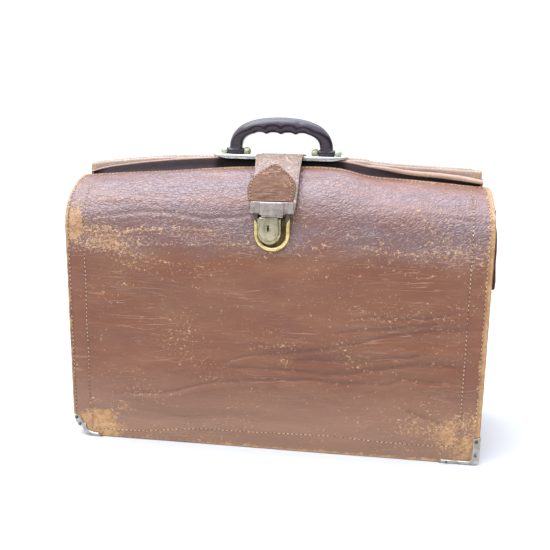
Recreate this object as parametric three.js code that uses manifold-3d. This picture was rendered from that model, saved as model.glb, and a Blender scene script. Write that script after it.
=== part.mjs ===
// A frame-top doctor's bag: leather tub, two hinged steel jaws, a moulded carrying handle and a strap
// with a hasp that closes on a slide lock. Millimetres, +Z up, +Y towards the back of the bag.
// The origin is the centre of the underside.
import * as THREE from 'three';
import { mergeVertices } from 'three/addons/utils/BufferGeometryUtils.js';
import Module from 'manifold-3d';

const wasm = await Module();
wasm.setup();

// ---- Driving dimensions -------------------------------------------------------------------------
const WIDTH = 430;
const DEPTH = 150;
const HALF_W = WIDTH / 2;
const HALF_D = DEPTH / 2;
const LEATHER = 3;
const GAP = 0.3; // clearance between pieces that touch

const SHOULDER_START = 228; // height at which the walls begin to curve inwards
const WALL_TOP = 252; // height at which the fixed walls end and the jaws take over
const PIN_Z = 235; // the two jaws turn about this line
const SHOULDER_R = HALF_D - 4.5; // the jaws' shoulders turn inside the walls
const LAP_ANGLE = 14; // degrees above the pin line at which a shoulder begins

const HEM_Y = -20; // top edge of the outer front panel
const HEM_Z = 294;
const HEM_DROP = 11.5; // how much lower that edge is at the ends than in the middle
const ROLL_Y = -14; // front jaw's rolled edge
const ROLL_Z = 299.8;
const ROLL_R = 2.2;
const ROLL_DROP = 14.3;
const COVER_FRONT = -11; // back jaw's flat leather cover
const COVER_BACK = 20;
const COVER_TOP = 302;
const COVER_HEIGHT = 8;
const COVER_DROP = 8;
const JAW_HALF = 211.5; // half length of whatever turns with the jaws

const ARCH_POWER = 1.6; // how late the arch of the top edges falls away

const PLATE_HALF = 73; // nickel plate under the handle
const PLATE_FRONT = -18;
const PLATE_BACK = 12;
const PLATE_THICK = 1.2;
const RIM_TOP = 304.9;
const HANDLE_AXIS_Z = 308;
const BOSS_X = 49;
const BOSS_WIDTH = 18;
const BOSS_R = 3.7;
const EAR_WIDTH = 6;
const HANDLE_PIN_R = 1.6;

const STRAP_WIDTH = 50;
const STRAP_THICK = 2.4;
const STRAP_Z = 305.2; // underside of the strap where it crosses the plate
const STRAP_SPLIT = -19.2; // the strap bends along this line when it is lifted
const STRAP_END_Z = 250.5;
const HASP_WIDTH = 43;
const LOCK_WIDTH = 37;
const LOCK_TOP = 246;
const LOCK_LOW = 212;

const BRACKET_BAND = 1.2;
const BRACKET_R = 10;
const BRACKET_SIDE = 30;
const BRACKET_BASE = 40;
const BRACKET_DEEP = 17;
const BRACKET_LIP = 3.8; // height of the lip along the base

const COLOURS = {
  leather: { color: 0x8a5237, roughness: 0.45, metalness: 0 },
  darkLeather: { color: 0x6b3b22, roughness: 0.5, metalness: 0 },
  lining: { color: 0x5a4030, roughness: 0.9, metalness: 0 },
  nickel: { color: 0xb9b3a6, roughness: 0.3, metalness: 1 },
  brass: { color: 0xc2a046, roughness: 0.3, metalness: 1 },
  steel: { color: 0x777777, roughness: 0.45, metalness: 1 },
  plastic: { color: 0x2a1f2c, roughness: 0.15, metalness: 0 },
  board: { color: 0x7a6a52, roughness: 0.9, metalness: 0 },
};

// ---- Solids -------------------------------------------------------------------------------------
function toSolid(geometry) {
  const bare = geometry.index ? geometry.toNonIndexed() : geometry.clone();
  bare.deleteAttribute('normal');
  bare.deleteAttribute('uv');
  const merged = mergeVertices(bare, 1e-3);
  return new wasm.Manifold(new wasm.Mesh({
    numProp: 3,
    vertProperties: merged.attributes.position.array,
    triVerts: new Uint32Array(merged.index.array),
  }));
}

function toGeometry(solid) {
  const mesh = solid.getMesh();
  const geometry = new THREE.BufferGeometry();
  geometry.setAttribute('position', new THREE.BufferAttribute(new Float32Array(mesh.vertProperties), 3));
  geometry.setIndex(new THREE.BufferAttribute(new Uint32Array(mesh.triVerts), 1));
  geometry.computeVertexNormals();
  return geometry;
}

const cut = (body, ...tools) => toGeometry(tools.reduce((a, b) => a.subtract(toSolid(b)), toSolid(body)));
const join = (body, ...more) => toGeometry(more.reduce((a, b) => a.add(toSolid(b)), toSolid(body)));
const common = (a, b) => toGeometry(toSolid(a).intersect(toSolid(b)));

function box(x0, x1, y0, y1, z0, z1) {
  const geometry = new THREE.BoxGeometry(x1 - x0, y1 - y0, z1 - z0);
  return geometry.translate((x0 + x1) / 2, (y0 + y1) / 2, (z0 + z1) / 2);
}

// A rod along X, Y or Z from a to b.
function rod(axis, radius, a, b, centre, sides = 16) {
  const geometry = new THREE.CylinderGeometry(radius, radius, b - a, sides);
  if (axis === 'x') geometry.rotateZ(-Math.PI / 2).translate((a + b) / 2, centre[0], centre[1]);
  if (axis === 'y') geometry.translate(centre[0], (a + b) / 2, centre[1]);
  return geometry;
}

// A rivet head: a low dome whose flat side faces back along +Y or, turned, towards the bag's middle.
function dome(radius, height) {
  const points = [new THREE.Vector2(0, 0), new THREE.Vector2(radius, 0)];
  for (let i = 1; i < 4; i++) {
    const a = (i / 4) * (Math.PI / 2);
    points.push(new THREE.Vector2(radius * Math.cos(a), height * Math.sin(a)));
  }
  points.push(new THREE.Vector2(0, height));
  return new THREE.LatheGeometry(points, 12);
}

// Outlines drawn in the YZ, XZ or XY plane, given thickness along the third axis.
const alongX = new THREE.Matrix4().makeBasis(
  new THREE.Vector3(0, 1, 0), new THREE.Vector3(0, 0, 1), new THREE.Vector3(1, 0, 0));
const alongY = new THREE.Matrix4().makeBasis(
  new THREE.Vector3(1, 0, 0), new THREE.Vector3(0, 0, 1), new THREE.Vector3(0, -1, 0));

function slabX(shape, x0, x1, steps = 1) {
  const geometry = new THREE.ExtrudeGeometry(shape, { depth: x1 - x0, steps, bevelEnabled: false, curveSegments: 8 });
  return geometry.applyMatrix4(alongX).translate(x0, 0, 0);
}

function slabY(shape, y0, y1, options = {}) {
  const settings = { depth: y1 - y0, bevelEnabled: false, curveSegments: 10, ...options };
  return new THREE.ExtrudeGeometry(shape, settings).applyMatrix4(alongY).translate(0, y1, 0);
}

function slabZ(shape, z0, z1) {
  const geometry = new THREE.ExtrudeGeometry(shape, { depth: z1 - z0, bevelEnabled: false, curveSegments: 8 });
  return geometry.translate(0, 0, z0);
}

const outline = (...points) => new THREE.Shape(points.map(([u, v]) => new THREE.Vector2(u, v)));

// A strip of even thickness on the left-hand side of a line of points.
function ribbon(points, thickness) {
  const line = points.map(([u, v]) => new THREE.Vector2(u, v));
  const offset = line.map((p, i) => {
    const before = line[Math.max(i - 1, 0)];
    const after = line[Math.min(i + 1, line.length - 1)];
    const along = after.clone().sub(before).normalize();
    return new THREE.Vector2(p.x - along.y * thickness, p.y + along.x * thickness);
  });
  return new THREE.Shape([...line, ...offset.reverse()]);
}

function roundedBox(x0, x1, z0, z1, radius) {
  const shape = new THREE.Shape();
  shape.moveTo(x0 + radius, z0);
  shape.lineTo(x1 - radius, z0);
  shape.absarc(x1 - radius, z0 + radius, radius, -Math.PI / 2, 0);
  shape.lineTo(x1, z1 - radius);
  shape.absarc(x1 - radius, z1 - radius, radius, 0, Math.PI / 2);
  shape.lineTo(x0 + radius, z1);
  shape.absarc(x0 + radius, z1 - radius, radius, Math.PI / 2, Math.PI);
  shape.lineTo(x0, z0 + radius);
  shape.absarc(x0 + radius, z0 + radius, radius, Math.PI, Math.PI * 1.5);
  return shape;
}

const smooth = (t) => THREE.MathUtils.smoothstep(t, 0, 1);

// Lets the top of a piece fall away towards its ends, fully at height `high` and not at all at `low`.
function arch(geometry, drop, low, high) {
  const position = geometry.attributes.position;
  for (let i = 0; i < position.count; i++) {
    const share = Math.abs(position.getX(i) / HALF_W) ** ARCH_POWER;
    const weight = smooth((position.getZ(i) - low) / (high - low));
    position.setZ(i, position.getZ(i) - drop * share * weight);
  }
  return geometry;
}

const aroundPin = (radius, degrees, side) => {
  const a = THREE.MathUtils.degToRad(degrees);
  return [side * radius * Math.cos(a), PIN_Z + radius * Math.sin(a)];
};

function arcAroundPin(radius, from, to, side, count) {
  const step = (to - from) / (count - 1);
  return Array.from({ length: count }, (_, i) => aroundPin(radius, from + i * step, side));
}

// ---- The scene graph ----------------------------------------------------------------------------
const bag = new THREE.Group();
bag.name = 'doctor_bag';

function add(name, geometry, look) {
  const mesh = new THREE.Mesh(geometry, new THREE.MeshStandardMaterial(COLOURS[look]));
  mesh.name = name;
  bag.add(mesh);
  return mesh;
}

// ---- Tub: the walls, ends and base --------------------------------------------------------------
// The fixed wall rises straight, then leans in until the shoulder of the jaw takes over.
function wallOutline() {
  const curve = new THREE.CubicBezierCurve(
    new THREE.Vector2(-HALF_D, SHOULDER_START), new THREE.Vector2(-HALF_D, 242),
    new THREE.Vector2(-HALF_D + 1, 246), new THREE.Vector2(-HALF_D + 2.6, WALL_TOP));
  const bend = curve.getPoints(4).map((p) => [p.x, p.y]);
  return ribbon([[-HALF_D, 1.6], ...bend].reverse(), LEATHER);
}

const cornerRadius = 14;
const wallFace = roundedBox(-HALF_W, HALF_W, 1.6, WALL_TOP + 20, cornerRadius);
const frontWall = common(slabX(wallOutline(), -HALF_W, HALF_W), slabY(wallFace, -HALF_D - 5, -HALF_D + 20));

// Rivets on the lip of the lower front right corner bracket, two up its side and a small one on its base;
// the other three brackets mirror them.
const RIVETS = [
  { x: HALF_W - 3, z: 11, r: 1.1, head: 2 },
  { x: HALF_W - 3, z: 26, r: 1.1, head: 2 },
  { x: HALF_W - 31, z: 2.1, r: 0.7, head: 1.4 },
];
const rivetHole = (rivet, side, y0, y1) => rod('y', rivet.r + GAP, y0, y1, [side * rivet.x, rivet.z], 8);
const rivetHoles = [-1, 1].flatMap((side) => RIVETS.map((rivet) => (
  rivetHole(rivet, side, -HALF_D - 5, -HALF_D + 10))));
const frontPanel = cut(frontWall, ...rivetHoles);
add('front_panel', frontPanel, 'leather');
add('back_panel', frontPanel.clone().rotateZ(Math.PI), 'leather');

// The flat pocket behind the front panel.
const POCKET_Y = -HALF_D + 4.8;
add('pocket_back', box(-209, 209, POCKET_Y, POCKET_Y + 1.8, 4, 214), 'darkLeather');

// End panels, with a tongue in the middle that carries the hinge pin and the side tab.
const TONGUE_TOP = 254;
const GUSSET_D = HALF_D - LEATHER - GAP;
const gussetOutline = outline(
  [-GUSSET_D, 13], [-GUSSET_D + 14, 13], [-GUSSET_D + 14, 3.3], [GUSSET_D - 14, 3.3], [GUSSET_D - 14, 13],
  [GUSSET_D, 13], [GUSSET_D, 238], [29, TONGUE_TOP], [-29, TONGUE_TOP], [-GUSSET_D, 238]);
const PIN_R = 2.5;
const TAB_RIVET = { y: 15, z: 249.5, r: 1.5 };
const tabRivetHoles = [-1, 1].map((s) =>
  rod('x', TAB_RIVET.r + GAP, HALF_W - 12, HALF_W + 12, [s * TAB_RIVET.y, TAB_RIVET.z], 10));
const gusset = cut(
  slabX(gussetOutline, HALF_W - LEATHER, HALF_W),
  rod('x', PIN_R + GAP, 200, 220, [0, PIN_Z]), ...tabRivetHoles);
add('right_gusset', gusset, 'leather');
add('left_gusset', gusset.clone().rotateZ(Math.PI), 'leather');

// Base: its corners are notched for the brackets.
const BASE_X = HALF_W - LEATHER - GAP;
const BASE_Y = HALF_D - LEATHER - GAP;
const notchX = BASE_X - BRACKET_BASE + 2;
const notchY = BASE_Y - BRACKET_DEEP + 3;
add('bottom_panel', slabZ(outline(
  [-notchX, -BASE_Y], [notchX, -BASE_Y], [notchX, -notchY], [BASE_X, -notchY], [BASE_X, notchY],
  [notchX, notchY], [notchX, BASE_Y], [-notchX, BASE_Y], [-notchX, notchY], [-BASE_X, notchY],
  [-BASE_X, -notchY], [-notchX, -notchY]), 0, LEATHER), 'leather');
add('base_board', box(-206, 206, -66, 66, 3.4, 6.4), 'board');

// ---- Corner brackets: a bent band with a lip over the face of the panel ---------------------------
function bracketGeometry() {
  const x1 = HALF_W + GAP + BRACKET_BAND;
  const arc = (shape, r, inner) => {
    const [from, to] = inner ? [0, -Math.PI / 2] : [-Math.PI / 2, 0];
    shape.absarc(x1 - BRACKET_R, BRACKET_R, r, from, to, inner);
  };
  const band = new THREE.Shape();
  band.moveTo(x1 - BRACKET_BASE, 0);
  arc(band, BRACKET_R, false);
  band.lineTo(x1, BRACKET_SIDE);
  band.lineTo(x1 - BRACKET_BAND, BRACKET_SIDE);
  arc(band, BRACKET_R - BRACKET_BAND, true);
  band.lineTo(x1 - BRACKET_BASE, BRACKET_BAND);
  const lip = new THREE.Shape();
  lip.moveTo(x1 - BRACKET_BASE, 0);
  arc(lip, BRACKET_R, false);
  lip.lineTo(x1, BRACKET_SIDE);
  lip.quadraticCurveTo(x1 - 8, BRACKET_SIDE, x1 - 8, BRACKET_SIDE - 6);
  lip.lineTo(x1 - 8, 9);
  lip.quadraticCurveTo(x1 - 8, 3, x1 - 14, 3);
  lip.lineTo(x1 - BRACKET_BASE, BRACKET_LIP);
  const front = -HALF_D - GAP - BRACKET_BAND;
  const body = join(slabY(band, front, front + BRACKET_DEEP), slabY(lip, front, front + BRACKET_BAND));
  return cut(body, ...RIVETS.map((rivet) => rivetHole(rivet, 1, front - 1, front + 4)));
}

function rivetGeometry({ x, z, r, head }) {
  const front = -HALF_D - GAP - BRACKET_BAND;
  const cap = dome(head, head / 2).rotateX(Math.PI).translate(x, front - GAP, z);
  return join(cap, rod('y', r, front - GAP - 0.2, -HALF_D + LEATHER, [x, z], 8));
}

// Turned by 180 degrees a front right piece becomes back left; mirrored it becomes front left.
function mirrored(geometry) {
  return toGeometry(toSolid(geometry).mirror([1, 0, 0]));
}

const cornerPlaces = [
  ['front_right', (g) => g.clone()],
  ['front_left', (g) => mirrored(g)],
  ['back_left', (g) => g.clone().rotateZ(Math.PI)],
  ['back_right', (g) => mirrored(g).rotateZ(Math.PI)],
];
const bracket = bracketGeometry();
for (const [place, put] of cornerPlaces) {
  add(`corner_bracket_${place}`, put(bracket), 'nickel');
  RIVETS.forEach((rivet, i) => add(`corner_rivet_${place}_${i + 1}`, put(rivetGeometry(rivet)), 'nickel'));
}

// ---- Hinge pins and side tabs -------------------------------------------------------------------
const hingePin = join(
  rod('x', PIN_R, 201.5, HALF_W + 0.4, [0, PIN_Z]),
  dome(5, 2).rotateZ(-Math.PI / 2).translate(HALF_W + GAP, 0, PIN_Z));
add('hinge_pin_right', hingePin, 'steel');
add('hinge_pin_left', hingePin.clone().rotateZ(Math.PI), 'steel');

const TAB_THICK = 4;
const tabLine = new THREE.CatmullRomCurve3([
  [215.4, 254], [215.5, 246], [219, 240], [222, 232], [222.6, 222], [223, 205], [224.6, 171],
].map(([x, z]) => new THREE.Vector3(x, 0, z))).getPoints(16).map((p) => [p.x, p.z]);
const tab = cut(slabY(ribbon(tabLine, TAB_THICK), -24, 24), ...tabRivetHoles);
add('side_tab_right', tab, 'leather');
add('side_tab_left', tab.clone().rotateZ(Math.PI), 'leather');
const tabRivet = (s) => join(
  rod('x', TAB_RIVET.r, HALF_W - LEATHER - 0.2, HALF_W + TAB_THICK + 1.2, [s * TAB_RIVET.y, TAB_RIVET.z], 10),
  dome(3.4, 1.6).rotateZ(-Math.PI / 2).translate(HALF_W + TAB_THICK + 0.9, s * TAB_RIVET.y, TAB_RIVET.z));
for (const [s, place] of [[-1, 'front'], [1, 'back']]) {
  add(`tab_rivet_right_${place}`, tabRivet(s), 'nickel');
  add(`tab_rivet_left_${place}`, tabRivet(-s).rotateZ(Math.PI), 'nickel');
}

// ---- Lock on the front panel --------------------------------------------------------------------
// A plate outline with straight sides and a half-round foot.
function shield(half, top, low) {
  const shape = new THREE.Shape();
  shape.moveTo(-half, top);
  shape.lineTo(-half, low + half);
  shape.absarc(0, low + half, half, Math.PI, Math.PI * 2);
  shape.lineTo(half, top);
  return shape;
}

const LOCK_BACK = -HALF_D - GAP;
const FIELD = 3.8; // width of the raised rim around the sunk field
const escutcheon = cut(
  slabY(shield(LOCK_WIDTH / 2, LOCK_TOP, LOCK_LOW), LOCK_BACK - 3.2, LOCK_BACK),
  slabY(shield(LOCK_WIDTH / 2 - FIELD, LOCK_TOP + 1, LOCK_LOW + FIELD), LOCK_BACK - 4, LOCK_BACK - 1.2));
add('lock_plate', escutcheon, 'brass');
add('lock_body', slabY(shield(13, LOCK_TOP - 0.6, LOCK_LOW + 5.5), LOCK_BACK - 6, LOCK_BACK - 1.2 - GAP), 'nickel');
const keyhole = roundedBox(-0.9, 0.9, 231, 238, 0.85);
const SLIDE_FACE = LOCK_BACK - 10.5;
const slide = cut(
  slabY(shield(9.6, LOCK_TOP - 1.4, LOCK_LOW + 10.5), SLIDE_FACE + 0.9, LOCK_BACK - 6.9 - GAP,
    { bevelEnabled: true, bevelThickness: 0.9, bevelSize: 0.9, bevelSegments: 2 }),
  slabY(keyhole, SLIDE_FACE - 1, SLIDE_FACE + 3));
add('lock_slide', slide, 'nickel');
add('lock_back_plate', box(-14, 14, -HALF_D + LEATHER + GAP, -HALF_D + LEATHER + 1.3, 206, 227), 'steel');

// ---- Front jaw ----------------------------------------------------------------------------------
// A leather sheet that turns inside the fixed wall, rising to the stitched top edge.
const shoulderSteps = 10;
const frontShoulderLine = [
  ...arcAroundPin(SHOULDER_R, LAP_ANGLE, 52, -1, 7), [-33, HEM_Z - 1], [HEM_Y, HEM_Z],
];
add('front_shoulder', arch(
  slabX(ribbon(frontShoulderLine.reverse(), LEATHER), -JAW_HALF, JAW_HALF, shoulderSteps),
  HEM_DROP, SHOULDER_START, HEM_Z), 'leather');

// The jaw's own leather behind it, hanging from the rolled edge.
const innerLine = [[ROLL_Y - 1.4, ROLL_Z - ROLL_R - 0.6], [-16.6, 286], [-35, 281], [-50, 268], [-60, 250]];
add('front_jaw_leather', arch(
  slabX(ribbon(innerLine, 1.8), -205, 205, shoulderSteps), ROLL_DROP, SHOULDER_START, ROLL_Z), 'darkLeather');

const rollCurve = new THREE.QuadraticBezierCurve3(
  new THREE.Vector3(-205, 0, ROLL_Z - ROLL_DROP * 0.91), new THREE.Vector3(0, 0, ROLL_Z + ROLL_DROP * 0.91),
  new THREE.Vector3(205, 0, ROLL_Z - ROLL_DROP * 0.91));

// A ring or a full round drawn around the jaw's rod, carried along the arch.
function alongRoll(radius, hole, half) {
  const shape = new THREE.Shape().absarc(ROLL_Y, 0, radius, 0, Math.PI * 2);
  if (hole) shape.holes.push(new THREE.Path().absarc(ROLL_Y, 0, hole, 0, Math.PI * 2, true));
  const geometry = new THREE.ExtrudeGeometry(shape, { depth: 2 * half, steps: 14, bevelEnabled: false, curveSegments: 5 });
  geometry.applyMatrix4(alongX).translate(-half, 0, 0);
  const position = geometry.attributes.position;
  for (let i = 0; i < position.count; i++) {
    const t = (position.getX(i) / 205 + 1) / 2;
    position.setZ(i, position.getZ(i) + rollCurve.getPoint(t).z);
  }
  return geometry;
}

add('front_roll', alongRoll(ROLL_R, 1.5, 205), 'leather');

// A flat steel arm from the hinge pin to the end of a jaw's bar.
function arm(x0, x1, y, z, topHalf) {
  const shape = outline([-5, PIN_Z - 1], [5, PIN_Z - 1], [y + topHalf, z], [y - topHalf, z]);
  const eye = rod('x', 6, x0, x1, [0, PIN_Z]);
  return join(slabX(shape, x0, x1), eye);
}

const armEndZ = rollCurve.getPoint(0).z;
const frontArm = arm(206, 208.4, ROLL_Y, armEndZ, 1.6);
const pinHole = rod('x', PIN_R + GAP, -220, 220, [0, PIN_Z]);
const frontRod = alongRoll(1.2, 0, 208.4);
add('front_frame', cut(join(frontRod, frontArm, mirrored(frontArm)), pinHole), 'steel');

// Soft ends of each jaw: the upper corners of the end panels, tucked inside them.
const cheekOutline = outline(
  [-4, 240], [-55, 238], [-58, 246], [-49, 256], [-34, 264.5], [-18, 267], [-4, 268]);
const cheek = cut(slabX(cheekOutline, 209, 211.3), rod('x', 7, 200, 220, [0, PIN_Z]));
add('front_cheek_right', cheek, 'leather');
add('front_cheek_left', mirrored(cheek), 'leather');
add('back_cheek_right', mirrored(cheek).rotateZ(Math.PI), 'leather');
add('back_cheek_left', cheek.clone().rotateZ(Math.PI), 'leather');

// ---- Back jaw -----------------------------------------------------------------------------------
const coverBottom = COVER_TOP - COVER_HEIGHT;
const coverWall = 2;
const coverOutline = outline(
  [COVER_FRONT, coverBottom], [COVER_FRONT + coverWall, coverBottom], [COVER_FRONT + coverWall, COVER_TOP - coverWall],
  [COVER_BACK - coverWall, COVER_TOP - coverWall], [COVER_BACK - coverWall, coverBottom], [COVER_BACK, coverBottom],
  [COVER_BACK, COVER_TOP - 1], [COVER_BACK - 1, COVER_TOP], [COVER_FRONT + 1.5, COVER_TOP], [COVER_FRONT, COVER_TOP - 1.5]);
add('back_cover', arch(slabX(coverOutline, -210, 210, shoulderSteps), COVER_DROP, 0, 1), 'leather');

const stripTop = COVER_TOP - coverWall - GAP;
const backStrip = arch(box(-205.4, 205.4, COVER_FRONT + 4, COVER_BACK - 4, stripTop - 2, stripTop), 0, 0, 1);
const stripShape = outline(
  [COVER_FRONT + 4, stripTop - 2], [COVER_BACK - 4, stripTop - 2], [COVER_BACK - 4, stripTop], [COVER_FRONT + 4, stripTop]);
const archedStrip = arch(slabX(stripShape, -205.4, 205.4, shoulderSteps), COVER_DROP, 0, 1);
const backArm = arm(203, 205.4, 4, stripTop - 1 - COVER_DROP * 0.91, 5);
add('back_frame', cut(join(archedStrip, backArm, mirrored(backArm)), pinHole), 'steel');

const backShoulderLine = [
  ...arcAroundPin(SHOULDER_R, LAP_ANGLE, 62, 1, 8), [COVER_BACK + 1, coverBottom + 5],
];
add('back_shoulder', arch(
  slabX(ribbon(backShoulderLine, LEATHER), -JAW_HALF, JAW_HALF, shoulderSteps),
  COVER_DROP, SHOULDER_START, coverBottom + 5), 'leather');

// Handle plate: a flat strip with raised edges and rounded ends.
const plateOutline = new THREE.Shape();
const plateMid = (PLATE_FRONT + PLATE_BACK) / 2;
plateOutline.moveTo(-PLATE_HALF + 14, PLATE_FRONT);
plateOutline.lineTo(PLATE_HALF - 14, PLATE_FRONT);
plateOutline.quadraticCurveTo(PLATE_HALF, PLATE_FRONT + 2, PLATE_HALF, plateMid);
plateOutline.quadraticCurveTo(PLATE_HALF, PLATE_BACK - 2, PLATE_HALF - 14, PLATE_BACK);
plateOutline.lineTo(-PLATE_HALF + 14, PLATE_BACK);
plateOutline.quadraticCurveTo(-PLATE_HALF, PLATE_BACK - 2, -PLATE_HALF, plateMid);
plateOutline.quadraticCurveTo(-PLATE_HALF, PLATE_FRONT + 2, -PLATE_HALF + 14, PLATE_FRONT);
const plateZ = COVER_TOP + GAP;
const plateBed = slabZ(plateOutline, plateZ + PLATE_THICK, RIM_TOP + 1)
  .translate(0, -plateMid, 0).scale(0.965, 0.91, 1).translate(0, plateMid, 0);
add('handle_plate', cut(slabZ(plateOutline, plateZ, RIM_TOP), plateBed), 'nickel');

// Handle brackets: two round ears on a foot, one bracket at each end of the handle.
const bedTop = plateZ + PLATE_THICK + 0.1;
const earInner = BOSS_WIDTH / 2 + 0.5;
const earOuter = earInner + EAR_WIDTH;
function handleBracket(x) {
  const foot = box(x - earOuter, x + earOuter, -4.5, 4.5, bedTop, bedTop + 0.4);
  const ears = [-1, 1].map((s) => {
    const face = rod('x', 5, x + s * earInner, x + s * (earOuter - 2), [0, HANDLE_AXIS_Z]);
    const cap = dome(5, 2).rotateZ(-s * Math.PI / 2).translate(x + s * (earOuter - 2.02), 0, HANDLE_AXIS_Z);
    return [s > 0 ? face : rod('x', 5, x - (earOuter - 2), x - earInner, [0, HANDLE_AXIS_Z]), cap];
  }).flat();
  const floor = box(x - 30, x + 30, -10, 10, bedTop - 10, bedTop);
  return cut(join(foot, ...ears), floor, rod('x', HANDLE_PIN_R + GAP, x - earOuter + 1, x + earOuter - 1, [0, HANDLE_AXIS_Z], 12));
}
for (const [side, x] of [['left', -BOSS_X], ['right', BOSS_X]]) {
  add(`handle_bracket_${side}`, handleBracket(x), 'nickel');
  add(`handle_pin_${side}`, rod('x', HANDLE_PIN_R, x - earOuter + 1.3, x + earOuter - 1.3, [0, HANDLE_AXIS_Z], 12), 'steel');
}

// ---- Handle: a moulded bail with finger grips -----------------------------------------------------
const GRIP_HALF = 26;
const GRIPS = 4;
const HANDLE_STATIONS = 44;

function mirroredSpline(half) {
  const all = [...half, ...half.map(([x, z]) => [-x, z]).reverse()];
  return new THREE.SplineCurve(all.map(([x, z]) => new THREE.Vector2(x, z)));
}

// Rings of equal point count joined into one closed body.
function loft(rings) {
  const sides = rings[0].length;
  const vertices = rings.flat();
  const faces = [];
  for (let i = 0; i + 1 < rings.length; i++) {
    for (let j = 0; j < sides; j++) {
      const a = i * sides + j;
      const b = i * sides + ((j + 1) % sides);
      faces.push(a, b + sides, b, a, a + sides, b + sides);
    }
  }
  const last = (rings.length - 1) * sides;
  for (let j = 1; j + 1 < sides; j++) {
    faces.push(0, j, j + 1, last, last + j + 1, last + j);
  }
  const geometry = new THREE.BufferGeometry().setFromPoints(vertices);
  geometry.setIndex(faces);
  return geometry;
}

function handleRings() {
  const outer = mirroredSpline([[-55.6, 309], [-54.5, 320], [-50.6, 327.5], [-40.7, 336.5], [-27.7, 341.9], [-8.3, 344.3]]);
  const inner = mirroredSpline([[-41.8, 309], [-40.6, 318.5], [-37.4, 323.5], [-30, 326.8], [-22, 327.2], [-8, 327.2]]);
  return Array.from({ length: HANDLE_STATIONS }, (_, i) => {
    const t = i / (HANDLE_STATIONS - 1);
    const top = outer.getPointAt(t);
    const under = inner.getPointAt(t);
    const inGrip = Math.abs(under.x) < GRIP_HALF;
    const phase = (Math.PI * GRIPS * (under.x + GRIP_HALF)) / (2 * GRIP_HALF);
    under.y += inGrip ? 1.7 * Math.abs(Math.sin(phase)) - 0.6 : 0;
    const depth = 4.2 + 3.8 * smooth((top.y - 316) / 20);
    return Array.from({ length: 14 }, (_, j) => {
      const a = (j / 14) * Math.PI * 2;
      const share = 0.5 + 0.5 * Math.sign(Math.cos(a)) * Math.abs(Math.cos(a)) ** 0.8;
      const y = depth * Math.sign(Math.sin(a)) * Math.abs(Math.sin(a)) ** 0.8;
      return new THREE.Vector3(
        THREE.MathUtils.lerp(under.x, top.x, share), y, THREE.MathUtils.lerp(under.y, top.y, share));
    });
  });
}

const bosses = [-BOSS_X, BOSS_X].map((x) =>
  rod('x', BOSS_R, x - BOSS_WIDTH / 2, x + BOSS_WIDTH / 2, [0, HANDLE_AXIS_Z], 20));
add('handle', cut(
  join(loft(handleRings()), ...bosses),
  rod('x', HANDLE_PIN_R + 0.25, -80, 80, [0, HANDLE_AXIS_Z], 12)), 'plastic');

// ---- Closing strap ------------------------------------------------------------------------------
// The fixed half crosses the plate and is sewn down on the cover behind it; the free half hangs over the front.
const anchorLine = [
  [STRAP_SPLIT + 0.2, STRAP_Z], [PLATE_BACK + 0.6, STRAP_Z], [PLATE_BACK + 4, STRAP_Z - 1.4],
  [PLATE_BACK + 6, COVER_TOP + GAP], [COVER_BACK - 0.6, COVER_TOP + GAP],
];
add('strap_anchor', slabX(ribbon(anchorLine, STRAP_THICK), -STRAP_WIDTH / 2, STRAP_WIDTH / 2), 'leather');

const frontLine = new THREE.CatmullRomCurve3([
  [STRAP_SPLIT - 0.2, STRAP_Z], [-33, 301.4], [-48, 292.5], [-62, 278.5], [-72.5, 264], [-78, 255], [-79.6, STRAP_END_Z],
].map(([y, z]) => new THREE.Vector3(0, y, z))).getPoints(16).map((p) => [p.y, p.z]);
add('strap', slabX(ribbon([...frontLine].reverse(), STRAP_THICK), -STRAP_WIDTH / 2, STRAP_WIDTH / 2), 'leather');

const patchTop = 297;
const patchShape = new THREE.Shape();
patchShape.moveTo(-21.5, 264);
patchShape.lineTo(-22, 266);
patchShape.bezierCurveTo(-25.5, 274, -25, 281, -15, 289);
patchShape.quadraticCurveTo(-5, patchTop - 2, 0, patchTop);
patchShape.quadraticCurveTo(5, patchTop - 2, 15, 289);
patchShape.bezierCurveTo(25, 281, 25.5, 274, 22, 266);
patchShape.lineTo(21.5, 264);
const patchLine = frontLine.map(([y, z], i) => {
  const before = frontLine[Math.max(i - 1, 0)];
  const after = frontLine[Math.min(i + 1, frontLine.length - 1)];
  const along = new THREE.Vector2(after[0] - before[0], after[1] - before[1]).normalize();
  const lift = STRAP_THICK + GAP;
  return [y + along.y * lift, z - along.x * lift];
});
add('strap_patch', common(
  slabX(ribbon([...patchLine].reverse(), 1.8), -25, 25), slabY(patchShape, -120, -30)), 'darkLeather');

// Hasp: a nickel plate across the end of the strap, its lip turned in below it.
const haspFront = -HALF_D - 11;
const HASP_SHIFT = 2; // the hasp sits a little to the right of the strap's middle
const haspShape = outline(
  [-HASP_WIDTH / 2, 263.5], [-HASP_WIDTH / 2, 251.5], [-12.5, 251.5], [-11, 247.2], [11, 247.2], [12.5, 251.5],
  [HASP_WIDTH / 2, 251.5], [HASP_WIDTH / 2, 263.5]);
add('hasp', join(
  slabY(haspShape, haspFront, haspFront + 1.6),
  box(-11, 11, haspFront, -78.2, 247.2, 248.6)).translate(HASP_SHIFT, 0, 0), 'nickel');

export default bag;
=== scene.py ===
"""A worn leather doctor's bag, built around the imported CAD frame.

Lengths are in millimetres until a mesh is made.
"""
import math

import bmesh
import bpy
import numpy as np
from mathutils import Matrix, Vector


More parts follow.
